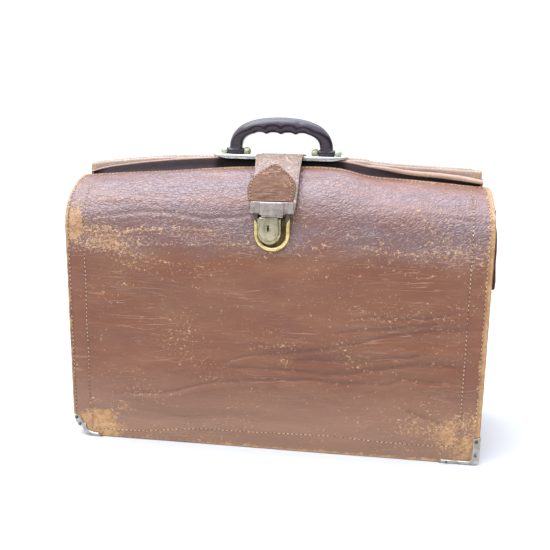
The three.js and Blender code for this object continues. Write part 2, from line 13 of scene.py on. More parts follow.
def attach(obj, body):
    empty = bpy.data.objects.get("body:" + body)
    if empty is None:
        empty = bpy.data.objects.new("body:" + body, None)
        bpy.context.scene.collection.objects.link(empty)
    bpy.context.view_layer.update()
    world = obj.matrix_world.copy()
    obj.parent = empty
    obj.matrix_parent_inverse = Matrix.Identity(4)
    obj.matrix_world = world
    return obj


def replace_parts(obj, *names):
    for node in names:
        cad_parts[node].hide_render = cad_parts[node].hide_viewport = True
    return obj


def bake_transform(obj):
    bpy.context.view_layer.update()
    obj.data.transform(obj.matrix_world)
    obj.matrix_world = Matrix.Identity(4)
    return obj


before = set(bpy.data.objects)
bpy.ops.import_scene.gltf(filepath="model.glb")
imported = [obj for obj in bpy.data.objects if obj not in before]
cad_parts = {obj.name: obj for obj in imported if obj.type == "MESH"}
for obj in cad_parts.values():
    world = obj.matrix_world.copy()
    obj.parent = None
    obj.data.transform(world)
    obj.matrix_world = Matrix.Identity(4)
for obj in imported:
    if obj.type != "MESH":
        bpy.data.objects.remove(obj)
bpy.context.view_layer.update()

MM = 0.001
HALF_W = 215.0
LEATHER = 3.0
PIN_Z = 235.0


# ---- Numbers: noise and curves ------------------------------------------------------------------
def noise(x, y, seed):
    """Gradient noise, about -1 to 1, one cell per unit."""
    angles = np.random.default_rng(seed).random((256, 256)) * 2 * np.pi
    xi, yi = np.floor(x).astype(int), np.floor(y).astype(int)
    xf, yf = x - xi, y - yi
    u, v = (t * t * t * (t * (t * 6 - 15) + 10) for t in (xf, yf))

    def corner(i, j):
        a = angles[(xi + i) & 255, (yi + j) & 255]
        return np.cos(a) * (xf - i) + np.sin(a) * (yf - j)

    low = corner(0, 0) * (1 - u) + corner(1, 0) * u
    high = corner(0, 1) * (1 - u) + corner(1, 1) * u
    return (low * (1 - v) + high * v) * 1.5


def fractal(x, y, seed, octaves=3):
    """Octaves of noise, each at twice the frequency and half the height."""
    total = 0.0
    for k in range(octaves):
        total = total + noise(x * 2 ** k, y * 2 ** k, seed + k) * 0.5 ** k
    return total


def ridges(x, y, seed, sharpness=3.0):
    """Thin raised lines where the noise crosses zero, 0 to 1."""
    return (1 - np.clip(np.abs(noise(x, y, seed)) * 1.6, 0, 1)) ** sharpness


def smooth(t):
    """Eased step: 0 below 0, 1 above 1."""
    t = np.clip(t, 0, 1)
    return t * t * (3 - 2 * t)


def spline(points, count):
    """Catmull-Rom through the points, resampled to even spacing."""
    p = np.asarray(points, float)
    p = np.vstack([2 * p[0] - p[1], p, 2 * p[-1] - p[-2]])
    t = np.linspace(0, len(p) - 3 - 1e-9, 40 * (len(p) - 3))
    i = t.astype(int)
    f = (t - i)[:, None]
    a, b, c, d = (p[i + k] for k in range(4))
    square = 2 * a - 5 * b + 4 * c - d
    cubic = 3 * b - a - 3 * c + d
    curve = 0.5 * (2 * b + (c - a) * f + square * f ** 2 + cubic * f ** 3)
    return resample(curve, count)


def resample(curve, count):
    """The curve at evenly spaced distances."""
    length = np.r_[0, np.cumsum(np.linalg.norm(np.diff(curve, axis=0), axis=1))]
    at = np.linspace(0, length[-1], count)
    return np.stack([np.interp(at, length, curve[:, k]) for k in range(curve.shape[1])], axis=1)


def grid_normals(points):
    """Unit normal at each point of a grid."""
    across = np.gradient(points, axis=1)
    along = np.gradient(points, axis=0)
    n = np.cross(across, along)
    return n / np.maximum(np.linalg.norm(n, axis=2, keepdims=True), 1e-9)


# ---- Meshes -------------------------------------------------------------------------------------
def new_object(name, vertices, faces, materials, indices=None, sharp=50):
    """A mesh object from points in millimetres."""
    mesh = bpy.data.meshes.new(name)
    mesh.from_pydata((np.asarray(vertices, float) * MM).tolist(), [], [list(map(int, f)) for f in faces])
    for material in materials:
        mesh.materials.append(material)
    if indices is not None:
        mesh.polygons.foreach_set("material_index", np.asarray(indices, dtype=np.int32))
    mesh.polygons.foreach_set("use_smooth", np.full(len(mesh.polygons), True))
    mesh.update()
    if sharp:
        mesh.set_sharp_from_angle(angle=math.radians(sharp))
    obj = bpy.data.objects.new(name, mesh)
    bpy.context.scene.collection.objects.link(obj)
    return obj


def paint(obj, flat=None, mask=None):
    """Rest-shape coordinates (metres) and masks that the materials read."""
    mesh = obj.data
    if flat is not None:
        layer = mesh.attributes.new("flat", "FLOAT_VECTOR", "POINT")
        layer.data.foreach_set("vector", (np.asarray(flat, float) * MM).ravel())
    if mask is not None:
        layer = mesh.attributes.new("mask", "FLOAT_COLOR", "POINT")
        rgba = np.concatenate([mask, np.ones((len(mask), 1))], axis=1)
        layer.data.foreach_set("color", rgba.ravel())


def quads(rows, cols, start=0, close=False):
    """Faces of a grid of points, closed round its columns if asked."""
    faces = []
    last = cols if close else cols - 1
    for r in range(rows - 1):
        for c in range(last):
            d = (c + 1) % cols
            a, b = start + r * cols + c, start + r * cols + d
            faces.append((a, b, b + cols, a + cols))
    return faces


def shell(name, outer, thickness, materials, flat=None, mask=None, sharp=55):
    """A sheet of even thickness behind the grid `outer`, with a rounded rim. Materials: face, back, edge."""
    rows, cols = outer.shape[:2]
    normal = grid_normals(outer)
    inner = outer - normal * thickness
    count = rows * cols
    border = ([(0, c) for c in range(cols)] + [(r, cols - 1) for r in range(1, rows)]
              + [(rows - 1, c) for c in range(cols - 2, -1, -1)] + [(r, 0) for r in range(rows - 2, 0, -1)])
    border = np.array(border)
    toward = np.stack([np.clip(border[:, 0], 1, rows - 2), np.clip(border[:, 1], 1, cols - 2)], axis=1)
    edge = outer[border[:, 0], border[:, 1]]
    out = edge - outer[toward[:, 0], toward[:, 1]]
    out /= np.maximum(np.linalg.norm(out, axis=1, keepdims=True), 1e-9)
    middle = (edge + inner[border[:, 0], border[:, 1]]) / 2 + out * thickness * 0.3
    vertices = np.concatenate([outer.reshape(-1, 3), inner.reshape(-1, 3), middle])
    faces = quads(rows, cols)
    face_count = len(faces)
    faces += [f[::-1] for f in quads(rows, cols, count)]
    outer_id = border[:, 0] * cols + border[:, 1]
    n = len(border)
    for i in range(n):
        j = (i + 1) % n
        mid_i, mid_j = 2 * count + i, 2 * count + j
        faces.append((outer_id[j], outer_id[i], mid_i, mid_j))
        faces.append((mid_j, mid_i, outer_id[i] + count, outer_id[j] + count))
    indices = [0] * face_count + [1] * face_count + [2] * (2 * n)
    obj = new_object(name, vertices, faces, materials, indices, sharp)
    if flat is not None:
        f = flat.reshape(-1, 3)
        flat = np.concatenate([f, f + [0, 0, thickness], f[outer_id] + [0, 0, thickness / 2]])
    if mask is not None:
        m = mask.reshape(-1, 3)
        mask = np.concatenate([m, m * [1, 0, 0], m[outer_id]])
    paint(obj, flat, mask)
    return obj


def loft(name, rings, materials, sharp=45):
    """Rings of equal point count joined along their length, with a flat cap at each end."""
    rings = np.asarray(rings, float)
    n, sides = rings.shape[:2]
    vertices = rings.reshape(-1, 3)
    faces = quads(n, sides, close=True)
    faces.append(tuple(range(sides))[::-1])
    faces.append(tuple((n - 1) * sides + j for j in range(sides)))
    obj = new_object(name, vertices, faces, materials, None, sharp)
    fix_normals(obj)
    paint(obj, vertices)
    return obj


def fix_normals(obj):
    """Turns all faces of a closed mesh outward."""
    bm = bmesh.new()
    bm.from_mesh(obj.data)
    bmesh.ops.recalc_face_normals(bm, faces=bm.faces)
    bm.to_mesh(obj.data)
    bm.free()


def slab(name, outline, back, front, materials, edge=0.8, steps=3, crown=0.0):
    """A plate from an XZ outline, its face at y = front and rounded over to the sides; back at y = back."""
    p = np.asarray(outline, float)
    nxt, prv = np.roll(p, -1, axis=0), np.roll(p, 1, axis=0)
    t = nxt - prv
    t /= np.maximum(np.linalg.norm(t, axis=1, keepdims=True), 1e-9)
    area = 0.5 * np.sum(p[:, 0] * nxt[:, 1] - nxt[:, 0] * p[:, 1])
    inward = np.stack([-t[:, 1], t[:, 0]], axis=1) * (1 if area > 0 else -1)
    rings = [np.c_[p[:, 0], np.full(len(p), back), p[:, 1]]]
    for k in range(steps + 1):
        a = (k / steps) * math.pi / 2
        q = p + inward * edge * (1 - math.cos(a))
        y = front + edge * (1 - math.sin(a)) * np.sign(back - front)
        rings.append(np.c_[q[:, 0], np.full(len(p), y), q[:, 1]])
    if crown:
        middle = q.mean(axis=0)
        for share in (0.7, 0.4, 0.12):
            r = middle + (q - middle) * share
            y = front - crown * (1 - share ** 2) * np.sign(back - front)
            rings.append(np.c_[r[:, 0], np.full(len(p), y), r[:, 1]])
    else:
        q = q + inward * 0.15
        rings.append(np.c_[q[:, 0], np.full(len(p), y), q[:, 1]])
    return loft(name, rings, materials, sharp=40)


def shield(half, top, low, count=18, lean=0.0):
    """Outline with straight sides and a half-round foot."""
    a = np.linspace(math.pi, 2 * math.pi, count)
    foot = np.c_[half * np.cos(a), low + half + half * np.sin(a)]
    return np.vstack([[-half + lean, top], foot, [half - lean, top]])


# ---- Materials ----------------------------------------------------------------------------------
class Nodes:
    """Short helpers to wire a material's node tree."""

    def __init__(self, name):
        self.material = bpy.data.materials.new(name)
        self.material.use_nodes = True
        self.tree = self.material.node_tree
        self.shader = self.tree.nodes["Principled BSDF"]

    def add(self, kind, **settings):
        node = self.tree.nodes.new(kind)
        for key, value in settings.items():
            setattr(node, key, value)
        return node

    def link(self, source, target):
        self.tree.links.new(source, target)

    def value(self, socket, given):
        if isinstance(given, bpy.types.NodeSocket):
            self.link(given, socket)
        else:
            socket.default_value = given

    def math(self, operation, a, b=0.0, c=None, clamp=False):
        node = self.add("ShaderNodeMath", operation=operation, use_clamp=clamp)
        self.value(node.inputs[0], a)
        self.value(node.inputs[1], b)
        if c is not None:
            self.value(node.inputs[2], c)
        return node.outputs[0]

    def ramp(self, value, low, high, to_low=0.0, to_high=1.0):
        node = self.add("ShaderNodeMapRange", interpolation_type="SMOOTHSTEP")
        self.value(node.inputs["Value"], value)
        node.inputs["From Min"].default_value = low
        node.inputs["From Max"].default_value = high
        node.inputs["To Min"].default_value = to_low
        node.inputs["To Max"].default_value = to_high
        return node.outputs["Result"]

    def mix(self, factor, a, b, blend="MIX"):
        node = self.add("ShaderNodeMix", data_type="RGBA", blend_type=blend)
        self.value(node.inputs["Factor"], factor)
        self.value(node.inputs["A"], a)
        self.value(node.inputs["B"], b)
        return node.outputs["Result"]

    def attribute(self, name, output="Vector"):
        return self.add("ShaderNodeAttribute", attribute_name=name).outputs[output]

    def flat_mm(self):
        """The rest-shape coordinates, in millimetres."""
        return self.scaled(self.attribute("flat"), (1000, 1000, 1000))

    def times(self, a, b):
        return self.math("MULTIPLY", a, b)

    def times_plus(self, a, b, c):
        return self.math("MULTIPLY_ADD", a, b, c)

    def scaled(self, vector, scale, turn=0):
        """The vector turned about Z (degrees) and then scaled."""
        if turn:
            node = self.add("ShaderNodeVectorRotate", rotation_type="Z_AXIS")
            self.link(vector, node.inputs["Vector"])
            node.inputs["Angle"].default_value = math.radians(turn)
            vector = node.outputs["Vector"]
        node = self.add("ShaderNodeMapping")
        self.link(vector, node.inputs["Vector"])
        node.inputs["Scale"].default_value = scale
        return node.outputs["Vector"]

    def noise(self, vector, scale, detail=2.0, roughness=0.5, distortion=0.0):
        node = self.add("ShaderNodeTexNoise")
        self.link(vector, node.inputs["Vector"])
        node.inputs["Scale"].default_value = scale
        node.inputs["Detail"].default_value = detail
        node.inputs["Roughness"].default_value = roughness
        node.inputs["Distortion"].default_value = distortion
        return node.outputs["Fac"]

    def cells(self, vector, scale):
        """Distance to the nearest edge of a cell pattern."""
        node = self.add("ShaderNodeTexVoronoi", feature="DISTANCE_TO_EDGE")
        self.link(vector, node.inputs["Vector"])
        node.inputs["Scale"].default_value = scale
        return node.outputs["Distance"]

    def warp(self, vector, scale, amount):
        """The vector shifted about by a noise."""
        source = self.add("ShaderNodeTexNoise")
        self.link(vector, source.inputs["Vector"])
        source.inputs["Scale"].default_value = scale
        centre = self.add("ShaderNodeVectorMath", operation="SUBTRACT")
        self.link(source.outputs["Color"], centre.inputs[0])
        centre.inputs[1].default_value = (0.5, 0.5, 0.5)
        grow = self.add("ShaderNodeVectorMath", operation="SCALE")
        self.link(centre.outputs[0], grow.inputs[0])
        grow.inputs["Scale"].default_value = amount
        total = self.add("ShaderNodeVectorMath", operation="ADD")
        self.link(vector, total.inputs[0])
        self.link(grow.outputs[0], total.inputs[1])
        return total.outputs[0]

    def bump(self, height, distance_mm):
        node = self.add("ShaderNodeBump")
        node.inputs["Strength"].default_value = 1.0
        node.inputs["Distance"].default_value = distance_mm * MM
        self.link(height, node.inputs["Height"])
        self.link(node.outputs["Normal"], self.shader.inputs["Normal"])

    def set(self, **sockets):
        for name, given in sockets.items():
            self.value(self.shader.inputs[name.replace("_", " ")], given)
        return self.material


def rgb(r, g, b):
    """A linear colour from 0-255 display values."""
    def linear(v):
        v /= 255
        return v / 12.92 if v <= 0.04045 else ((v + 0.055) / 1.055) ** 2.4
    return (linear(r), linear(g), linear(b), 1.0)


def leather(name, tones, worn, grain=0.0, wear=0.0, rough=(0.28, 0.4), depth=0.5, crease=1.0,
            specular=0.5, vein=1.0, sheen_tint=0.0, sheen_haze=0.6):
    """Pebbled, creased leather. The mask attribute adds wear (red), pebble grain that also carries a painted
    sheen (green), and darkening (blue): dirt and darker leather, and painted shade in creases, along stitch
    grooves and under the handle plate.
    """
    n = Nodes(name)
    coordinate = n.flat_mm()
    masks = n.add("ShaderNodeSeparateColor")
    n.link(n.attribute("mask", "Color"), masks.inputs[0])
    wear_mask = n.math("ADD", masks.outputs[0], wear)
    grain_and_sheen_mask = n.math("ADD", masks.outputs[1], grain, clamp=True)
    dirt_and_shade_mask = masks.outputs[2]
    plain_tone, red_tone, pale_tone, ridge_tone, dark_tone = tones

    # Relief: small pebbles, a crinkled network that turns diagonal to the right, and long fine lines.
    bent = n.warp(coordinate, 0.16, 5.0)
    pebble = n.ramp(n.cells(bent, 0.3), 0.0, 0.3)
    wavy = n.warp(coordinate, 0.07, 9.0)
    level_cells = n.ramp(n.cells(n.scaled(wavy, (0.6, 1.0, 1.0)), 0.27), 0.0, 0.2)
    slanted_cells = n.ramp(n.cells(n.scaled(wavy, (0.5, 1.0, 1.0), turn=-40), 0.27), 0.0, 0.2)
    across = n.add("ShaderNodeSeparateXYZ")
    n.link(coordinate, across.inputs[0])
    to_right = n.ramp(across.outputs[0], 5.0, 60.0)
    to_left = n.math("SUBTRACT", 1.0, to_right)
    crinkle = n.math("ADD", n.times(slanted_cells, to_right), n.times(level_cells, to_left))
    wander = n.warp(n.warp(coordinate, 0.01 * vein, 16.0 / vein), 0.05 * vein, 2.0 / vein)
    line_noise = n.noise(n.scaled(wander, (0.05 * vein, 1.0, 1.0)), 0.18 * vein, 1.0, 0.5)
    lines = n.ramp(n.math("ABSOLUTE", n.math("SUBTRACT", line_noise, 0.5)), 0.02 * vein, 0.0)
    line_region = n.ramp(n.noise(n.scaled(coordinate, (0.5, 1.0, 1.0)), 0.022, 2.0), 0.46, 0.6)
    lines = n.times(lines, n.times_plus(line_region, 0.85, 0.15))
    fine = n.noise(coordinate, 1.1, 3.0, 0.6)

    blotch = n.ramp(n.noise(coordinate, 0.011, 3.0, 0.55), 0.36, 0.64)
    base = n.mix(blotch, plain_tone, red_tone)
    streak = n.ramp(n.noise(n.scaled(wander, (0.3, 1.0, 1.0)), 0.04, 3.0, 0.55), 0.42, 0.75)
    base = n.mix(n.times(streak, 0.55), base, pale_tone)
    fibre = n.ramp(n.noise(n.scaled(wander, (0.1, 1.0, 1.0)), 0.5, 3.0, 0.6), 0.52, 0.76)
    base = n.mix(n.times(fibre, 0.16 * crease), base, ridge_tone)
    base = n.mix(n.times(lines, 0.34 * crease), base, ridge_tone)
    # Painted sheen: a cool grey mixed in where the grain mask is strong, for the bright sky's reflection on
    # the shoulder. Painted shade darkens the grain's valleys and pits.
    base = n.mix(n.times(grain_and_sheen_mask, sheen_haze), base, rgb(117, 100, 104))
    valley = n.times(n.ramp(crinkle, 0.6, 0.0), n.times_plus(grain_and_sheen_mask, 0.36, 0.03))
    pits = n.times(n.ramp(pebble, 0.5, 0.0), n.times_plus(grain_and_sheen_mask, 0.25, 0.02))
    base = n.mix(n.math("MAXIMUM", valley, pits), base, dark_tone)

    # Painted light: paler towards the bottom edge, for light from the bright floor.
    low = n.ramp(across.outputs[1], 96.0, 14.0)
    base = n.mix(n.times(low, sheen_tint), base, rgb(128, 93, 71))

    # Scuffs: specks and broken lines where the finish is rubbed through.
    speck = n.noise(n.scaled(n.warp(coordinate, 0.3, 2.4), (0.7, 1.0, 1.0)), 0.36, 5.0, 0.75)
    web = n.ramp(n.cells(n.warp(coordinate, 0.2, 4.0), 0.22), 0.12, 0.0)
    region = n.noise(n.scaled(coordinate, (0.6, 1.0, 1.0)), 0.03, 2.0, 0.5)
    level = n.math("ADD", n.times_plus(region, 0.30, n.times(wear_mask, 0.62)),
                   n.times_plus(speck, 1.3, n.times(web, 0.18)))
    scuffed = n.ramp(level, 1.07, 1.14)
    rubbed = n.mix(n.ramp(wear_mask, 0.15, 0.5), worn[0], worn[1])
    rubbed = n.mix(n.ramp(n.noise(coordinate, 0.13, 3.0, 0.6), 0.42, 0.62), rubbed, worn[2])
    base = n.mix(n.times(scuffed, 0.85), base, rubbed)
    # Darker by the blue mask: dirt and darker leather, and painted shade in creases, along stitch grooves and
    # under the handle plate.
    base = n.mix(dirt_and_shade_mask, base, dark_tone)

    height = n.times(pebble, n.times_plus(grain_and_sheen_mask, 0.3, 0.03))
    height = n.times_plus(crinkle, n.times_plus(grain_and_sheen_mask, 0.72, 0.07 * crease), height)
    height = n.times_plus(lines, 0.4 * crease, height)
    height = n.times_plus(fine, 0.16, height)
    height = n.times_plus(scuffed, -0.12, height)
    n.bump(height, depth)
    shine = n.ramp(n.noise(coordinate, 0.14, 3.0, 0.6), 0.3, 0.7, rough[0], rough[1])
    shine = n.times_plus(scuffed, 0.2, n.times_plus(dirt_and_shade_mask, 0.35, shine))
    return n.set(Base_Color=base, Roughness=shine, Specular_IOR_Level=specular)


def raw_edge(name, light, dark):
    """Cut leather edge: fibrous, dry and uneven in colour."""
    n = Nodes(name)
    coordinate = n.flat_mm()
    streak = n.noise(n.scaled(coordinate, (0.25, 0.25, 2.5)), 0.8, 4.0, 0.7)
    tone = n.mix(n.ramp(n.noise(coordinate, 0.05, 4.0, 0.7), 0.38, 0.62), dark, light)
    tone = n.mix(n.times(n.ramp(streak, 0.4, 0.7), 0.4), tone, rgb(110, 72, 40))
    n.bump(streak, 0.3)
    return n.set(Base_Color=tone, Roughness=0.75, Specular_IOR_Level=0.3)


def suede(name, light, dark):
    """Flesh side of the leather."""
    n = Nodes(name)
    coordinate = n.flat_mm()
    fibres = n.noise(coordinate, 2.2, 5.0, 0.75, 0.6)
    tone = n.mix(n.ramp(n.noise(coordinate, 0.04, 4.0, 0.6), 0.35, 0.65), light, dark)
    tone = n.mix(n.times(fibres, 0.4), tone, dark)
    n.bump(fibres, 0.25)
    return n.set(Base_Color=tone, Roughness=0.95, Specular_IOR_Level=0.15)


def aged_metal(name, clean, stained, dark, rough=(0.22, 0.5), metallic=1.0):
    """Plated sheet with tarnish, fine scratches and small pits."""
    n = Nodes(name)
    coordinate = n.add("ShaderNodeTexCoord").outputs["Object"]
    coordinate = n.scaled(coordinate, (1000, 1000, 1000))
    stain = n.ramp(n.noise(coordinate, 0.12, 5.0, 0.65), 0.42, 0.66)
    tone = n.mix(stain, clean, stained)
    pits = n.ramp(n.noise(coordinate, 1.3, 4.0, 0.7), 0.62, 0.74)
    tone = n.mix(n.times(pits, 0.6), tone, dark)
    lines = n.noise(n.scaled(coordinate, (4.0, 4.0, 0.12)), 1.0, 3.0, 0.7)
    lines = n.math("ADD", lines, n.noise(n.scaled(coordinate, (0.15, 4.0, 3.0)), 1.0, 3.0, 0.7))
    shine = n.ramp(n.times_plus(stain, 0.5, n.times(lines, 0.4)), 0.2, 0.8, *rough)
    height = n.times_plus(lines, 0.25, n.times(pits, -0.5))
    n.bump(height, 0.06)
    return n.set(Base_Color=tone, Roughness=shine, Metallic=metallic)


def moulded_plastic(name, tone, sheen_tint, coat):
    """Polished dark resin with cloudy lilac-grey patches, partly a bloom on the resin and partly painted
    sheen, and hairline scratches.
    """
    n = Nodes(name)
    coordinate = n.flat_mm()
    cloudy = n.ramp(n.noise(coordinate, 0.05, 4.0, 0.6), 0.4, 0.7)
    # Cloudy lilac-grey patches: partly a bloom on the resin, partly painted sheen.
    colour = n.mix(n.times(cloudy, 0.35), tone, sheen_tint)
    scratches = n.noise(n.scaled(coordinate, (0.2, 3.0, 3.0)), 1.0, 4.0, 0.75)
    n.bump(scratches, 0.02)
    shine = n.ramp(scratches, 0.35, 0.75, 0.16, 0.3)
    return n.set(Base_Color=colour, Roughness=shine, Coat_Weight=coat, Coat_Roughness=0.06,
                 Specular_IOR_Level=0.5)


def thread_material():
    """Twisted thread, dirty in places."""
    n = Nodes("waxed_thread")
    coordinate = n.flat_mm()
    darkening = n.ramp(n.noise(coordinate, 0.06, 3.0, 0.6), 0.4, 0.7)
    tone = n.mix(darkening, rgb(192, 158, 126), rgb(146, 106, 76))
    twist = n.add("ShaderNodeTexWave", wave_type="BANDS", bands_direction="DIAGONAL")
    n.link(n.scaled(coordinate, (1.2, 1.2, 1.2)), twist.inputs["Vector"])
    twist.inputs["Scale"].default_value = 1.0
    n.bump(twist.outputs["Fac"], 0.15)
    return n.set(Base_Color=tone, Roughness=0.7)


def plain_dark(name, tone):
    """A dull near-black, used as painted shade for the needle holes and the keyhole."""
    n = Nodes(name)
    coordinate = n.flat_mm()
    colour = n.mix(n.noise(coordinate, 0.3, 3.0), tone, tuple(0.5 * v for v in tone[:3]) + (1,))
    return n.set(Base_Color=colour, Roughness=0.9, Specular_IOR_Level=0.2)


def palette(*colours):
    return [rgb(*colour) for colour in colours]


# Leather tones: plain, red, pale, ridge and dark; then two or three for rubbed places.
BROWN = palette((107, 60, 26), (101, 51, 17), (122, 79, 49), (158, 111, 73), (60, 31, 18))
OCHRE = palette((184, 150, 110), (174, 134, 86), (150, 108, 64))
SIDE = palette((108, 64, 44), (98, 56, 36), (118, 78, 58)) + BROWN[3:]
ROLL = palette((154, 120, 100), (142, 106, 86), (166, 134, 112), (184, 154, 128), (66, 38, 26))
COVER = palette((149, 130, 111), (136, 112, 92), (161, 144, 126), (168, 144, 122), (72, 46, 32))
STRAP = palette((116, 90, 62), (106, 76, 46), (128, 106, 80), (150, 130, 108), (70, 46, 34))
STRAP_WORN = palette((176, 154, 130), (162, 146, 128), (144, 112, 82))
PATCH = palette((96, 62, 38), (86, 52, 30), (108, 74, 50), (164, 128, 92), (54, 31, 19))
# Near-black pocket tones: dark leather darkened further as painted shade inside the pocket's mouth.
POCKET_SHADE = palette((24, 14, 12), (20, 12, 10), (28, 17, 14), (36, 24, 19), (12, 7, 6))
front_leather = leather("brown_leather", BROWN, OCHRE, crease=1.3, specular=0.64, sheen_tint=0.9)
side_leather = leather("side_leather", SIDE, OCHRE, grain=0.35, wear=0.05, specular=0.4, sheen_haze=0.15)
roll_leather = leather("roll_leather", ROLL, OCHRE, grain=0.1, wear=0.18, depth=0.2)
cover_leather = leather("cover_leather", COVER, OCHRE, grain=0.2, wear=0.16, depth=0.22)
strap_leather = leather("strap_leather", STRAP, STRAP_WORN, grain=0.55, wear=0.25, depth=0.3, crease=0.5,
                        specular=0.4, sheen_haze=0.5)
patch_leather = leather("patch_leather", PATCH, OCHRE, grain=0.1, wear=0.02, depth=0.5, crease=2.2,
                        rough=(0.6, 0.8), specular=0.3, vein=2.6)
shaded_inner_leather = leather("pocket_leather_painted_shade", POCKET_SHADE, OCHRE, grain=0.2, wear=-0.3, depth=0.25,
                        rough=(0.7, 0.85), specular=0.1)
ochre_edge = raw_edge("raw_edge", rgb(176, 132, 74), rgb(134, 84, 44))
brown_edge = raw_edge("dark_edge", rgb(86, 52, 34), rgb(54, 30, 22))
flesh = suede("flesh_side", rgb(118, 86, 60), rgb(82, 56, 38))
thread = thread_material()
# Painted shade for the needle holes and the keyhole.
hole_shade = plain_dark("needle_hole_shade", rgb(46, 24, 18))


def metal(name, clean, stained, dark, **look):
    return aged_metal(name, rgb(*clean), rgb(*stained), rgb(*dark), **look)


DULL = (0.35, 0.6)
nickel = metal("aged_nickel", (186, 183, 178), (156, 150, 138), (84, 74, 60))
ear_nickel = metal("ear_nickel", (172, 173, 146), (142, 142, 114), (82, 76, 60), rough=(0.4, 0.6),
                   metallic=0.6)
hasp_metal = metal("worn_nickel", (168, 158, 150), (140, 127, 116), (74, 58, 50), rough=(0.32, 0.55))
button_metal = metal("button_nickel", (172, 163, 134), (136, 126, 100), (66, 57, 43), rough=(0.22, 0.42))
brass = metal("polished_brass", (226, 208, 152), (192, 170, 108), (104, 84, 40), rough=(0.15, 0.36))
dark_brass = metal("shaded_brass", (96, 78, 44), (70, 56, 34), (40, 30, 20), rough=(0.4, 0.6))
steel = metal("frame_steel", (150, 148, 144), (120, 112, 104), (70, 56, 46), rough=DULL)
lug_steel = metal("shaded_steel", (96, 88, 80), (70, 62, 54), (36, 30, 26), rough=DULL)
rivet_steel = metal("rivet_steel", (112, 108, 104), (84, 76, 70), (48, 40, 34), rough=DULL)
plastic = moulded_plastic("handle_resin", rgb(30, 13, 22), rgb(46, 38, 56), coat=0.1)
boss_plastic = moulded_plastic("boss_resin", rgb(24, 18, 22), rgb(40, 36, 42), coat=0.0)
board = suede("base_board_cloth", rgb(96, 78, 58), rgb(70, 54, 40))


# ---- Leather sheets -----------------------------------------------------------------------------
# Each profile runs from the bottom edge up to the top edge, in (y, z); the shoulder is lower at the ends.
FRONT_MIDDLE = [(-75, 0.8), (-75.9, 60), (-76.6, 130), (-76, 190), (-75.4, 222), (-74.2, 238), (-71.2, 252),
                (-65.8, 264.5), (-57, 275.5), (-46, 284), (-33, 290.6), (-20, 294.8)]
FRONT_END = [(-75, 0.8), (-75.2, 60), (-75.4, 130), (-75.2, 190), (-74.9, 224), (-73.4, 238), (-67.6, 251.5),
             (-59.6, 261.2), (-49.5, 268.6), (-38, 274.2), (-27, 278.2), (-20, 280.6)]
BACK_MIDDLE = [(75, 0.8), (75.6, 60), (76, 130), (75.8, 190), (75.2, 226), (74.2, 241), (71.4, 254),
               (66.2, 265.5), (58, 276), (47.5, 285.5), (35, 292), (21, 297.2)]
BACK_END = [(75, 0.8), (75.2, 60), (75.4, 130), (75.2, 190), (74.9, 224), (73.4, 238), (67.8, 252),
            (60, 262), (49.5, 271), (38, 278.6), (28, 284), (21, 287.4)]
LEAN = 0.012  # the left side of the mouth stands a little higher than the right

# Outlines of the uneven mouth, as (x, height).
HEM_HEIGHT = [(-212, 281.5), (-165, 285), (-113, 288.7), (-51, 292.3), (20, 294.3), (64, 293), (98, 286),
              (143, 283), (208, 277.7)]
ROLL_UNDERSIDE = [(-213, 281.5), (-180, 289.5), (-115, 297), (-60, 300.3), (0, 300.2), (64, 298.5),
                  (98, 292.5), (132, 286), (165, 283), (208, 278.2)]
ROLL_RADIUS = [(-213, 1.2), (60, 1.25), (98, 2.1), (120, 3.1), (180, 3.7), (208, 3.0)]
COVER_HEIGHT = [(-211, 293.2), (-187, 296.2), (-134, 301), (-81, 302), (70, 302), (98, 299), (121, 296.9),
                (166, 294.8), (208, 293)]
WORN_CORNER = 27.0  # radius to which the front left bottom corner has worn


def follow(outline, x):
    """Value of a given outline at x, rounded between its points."""
    curve = spline(outline, 240)
    return np.interp(x, curve[:, 0], curve[:, 1])


def lean(points):
    """Raises the left side of the mouth and lowers the right."""
    lift = -points[..., 0] * LEAN * smooth((points[..., 2] - 170) / 110)
    points[..., 2] += lift
    return points


def wear_round(points):
    """Rounds off the bag's front left bottom corner, seen from the front."""
    u = np.clip(-points[..., 0] - (HALF_W - WORN_CORNER), 0, None)
    v = np.clip(WORN_CORNER - points[..., 2], 0, None)
    pull = np.maximum(u, v) / np.maximum(np.hypot(u, v), 1e-9)
    pull = 1 + (pull - 1) * smooth((30 - points[..., 1]) / 70) * ((u > 0) & (v > 0))
    points[..., 0] = np.where(u > 0, -(HALF_W - WORN_CORNER) - u * pull, points[..., 0])
    points[..., 2] = np.where(v > 0, WORN_CORNER - v * pull, points[..., 2])
    return points


def corner_inset(distance, radius):
    """How far a rounded corner draws an edge in, at a distance from the corner's end."""
    return radius - np.sqrt(np.clip(radius ** 2 - np.clip(radius - distance, 0, radius) ** 2, 0, None))


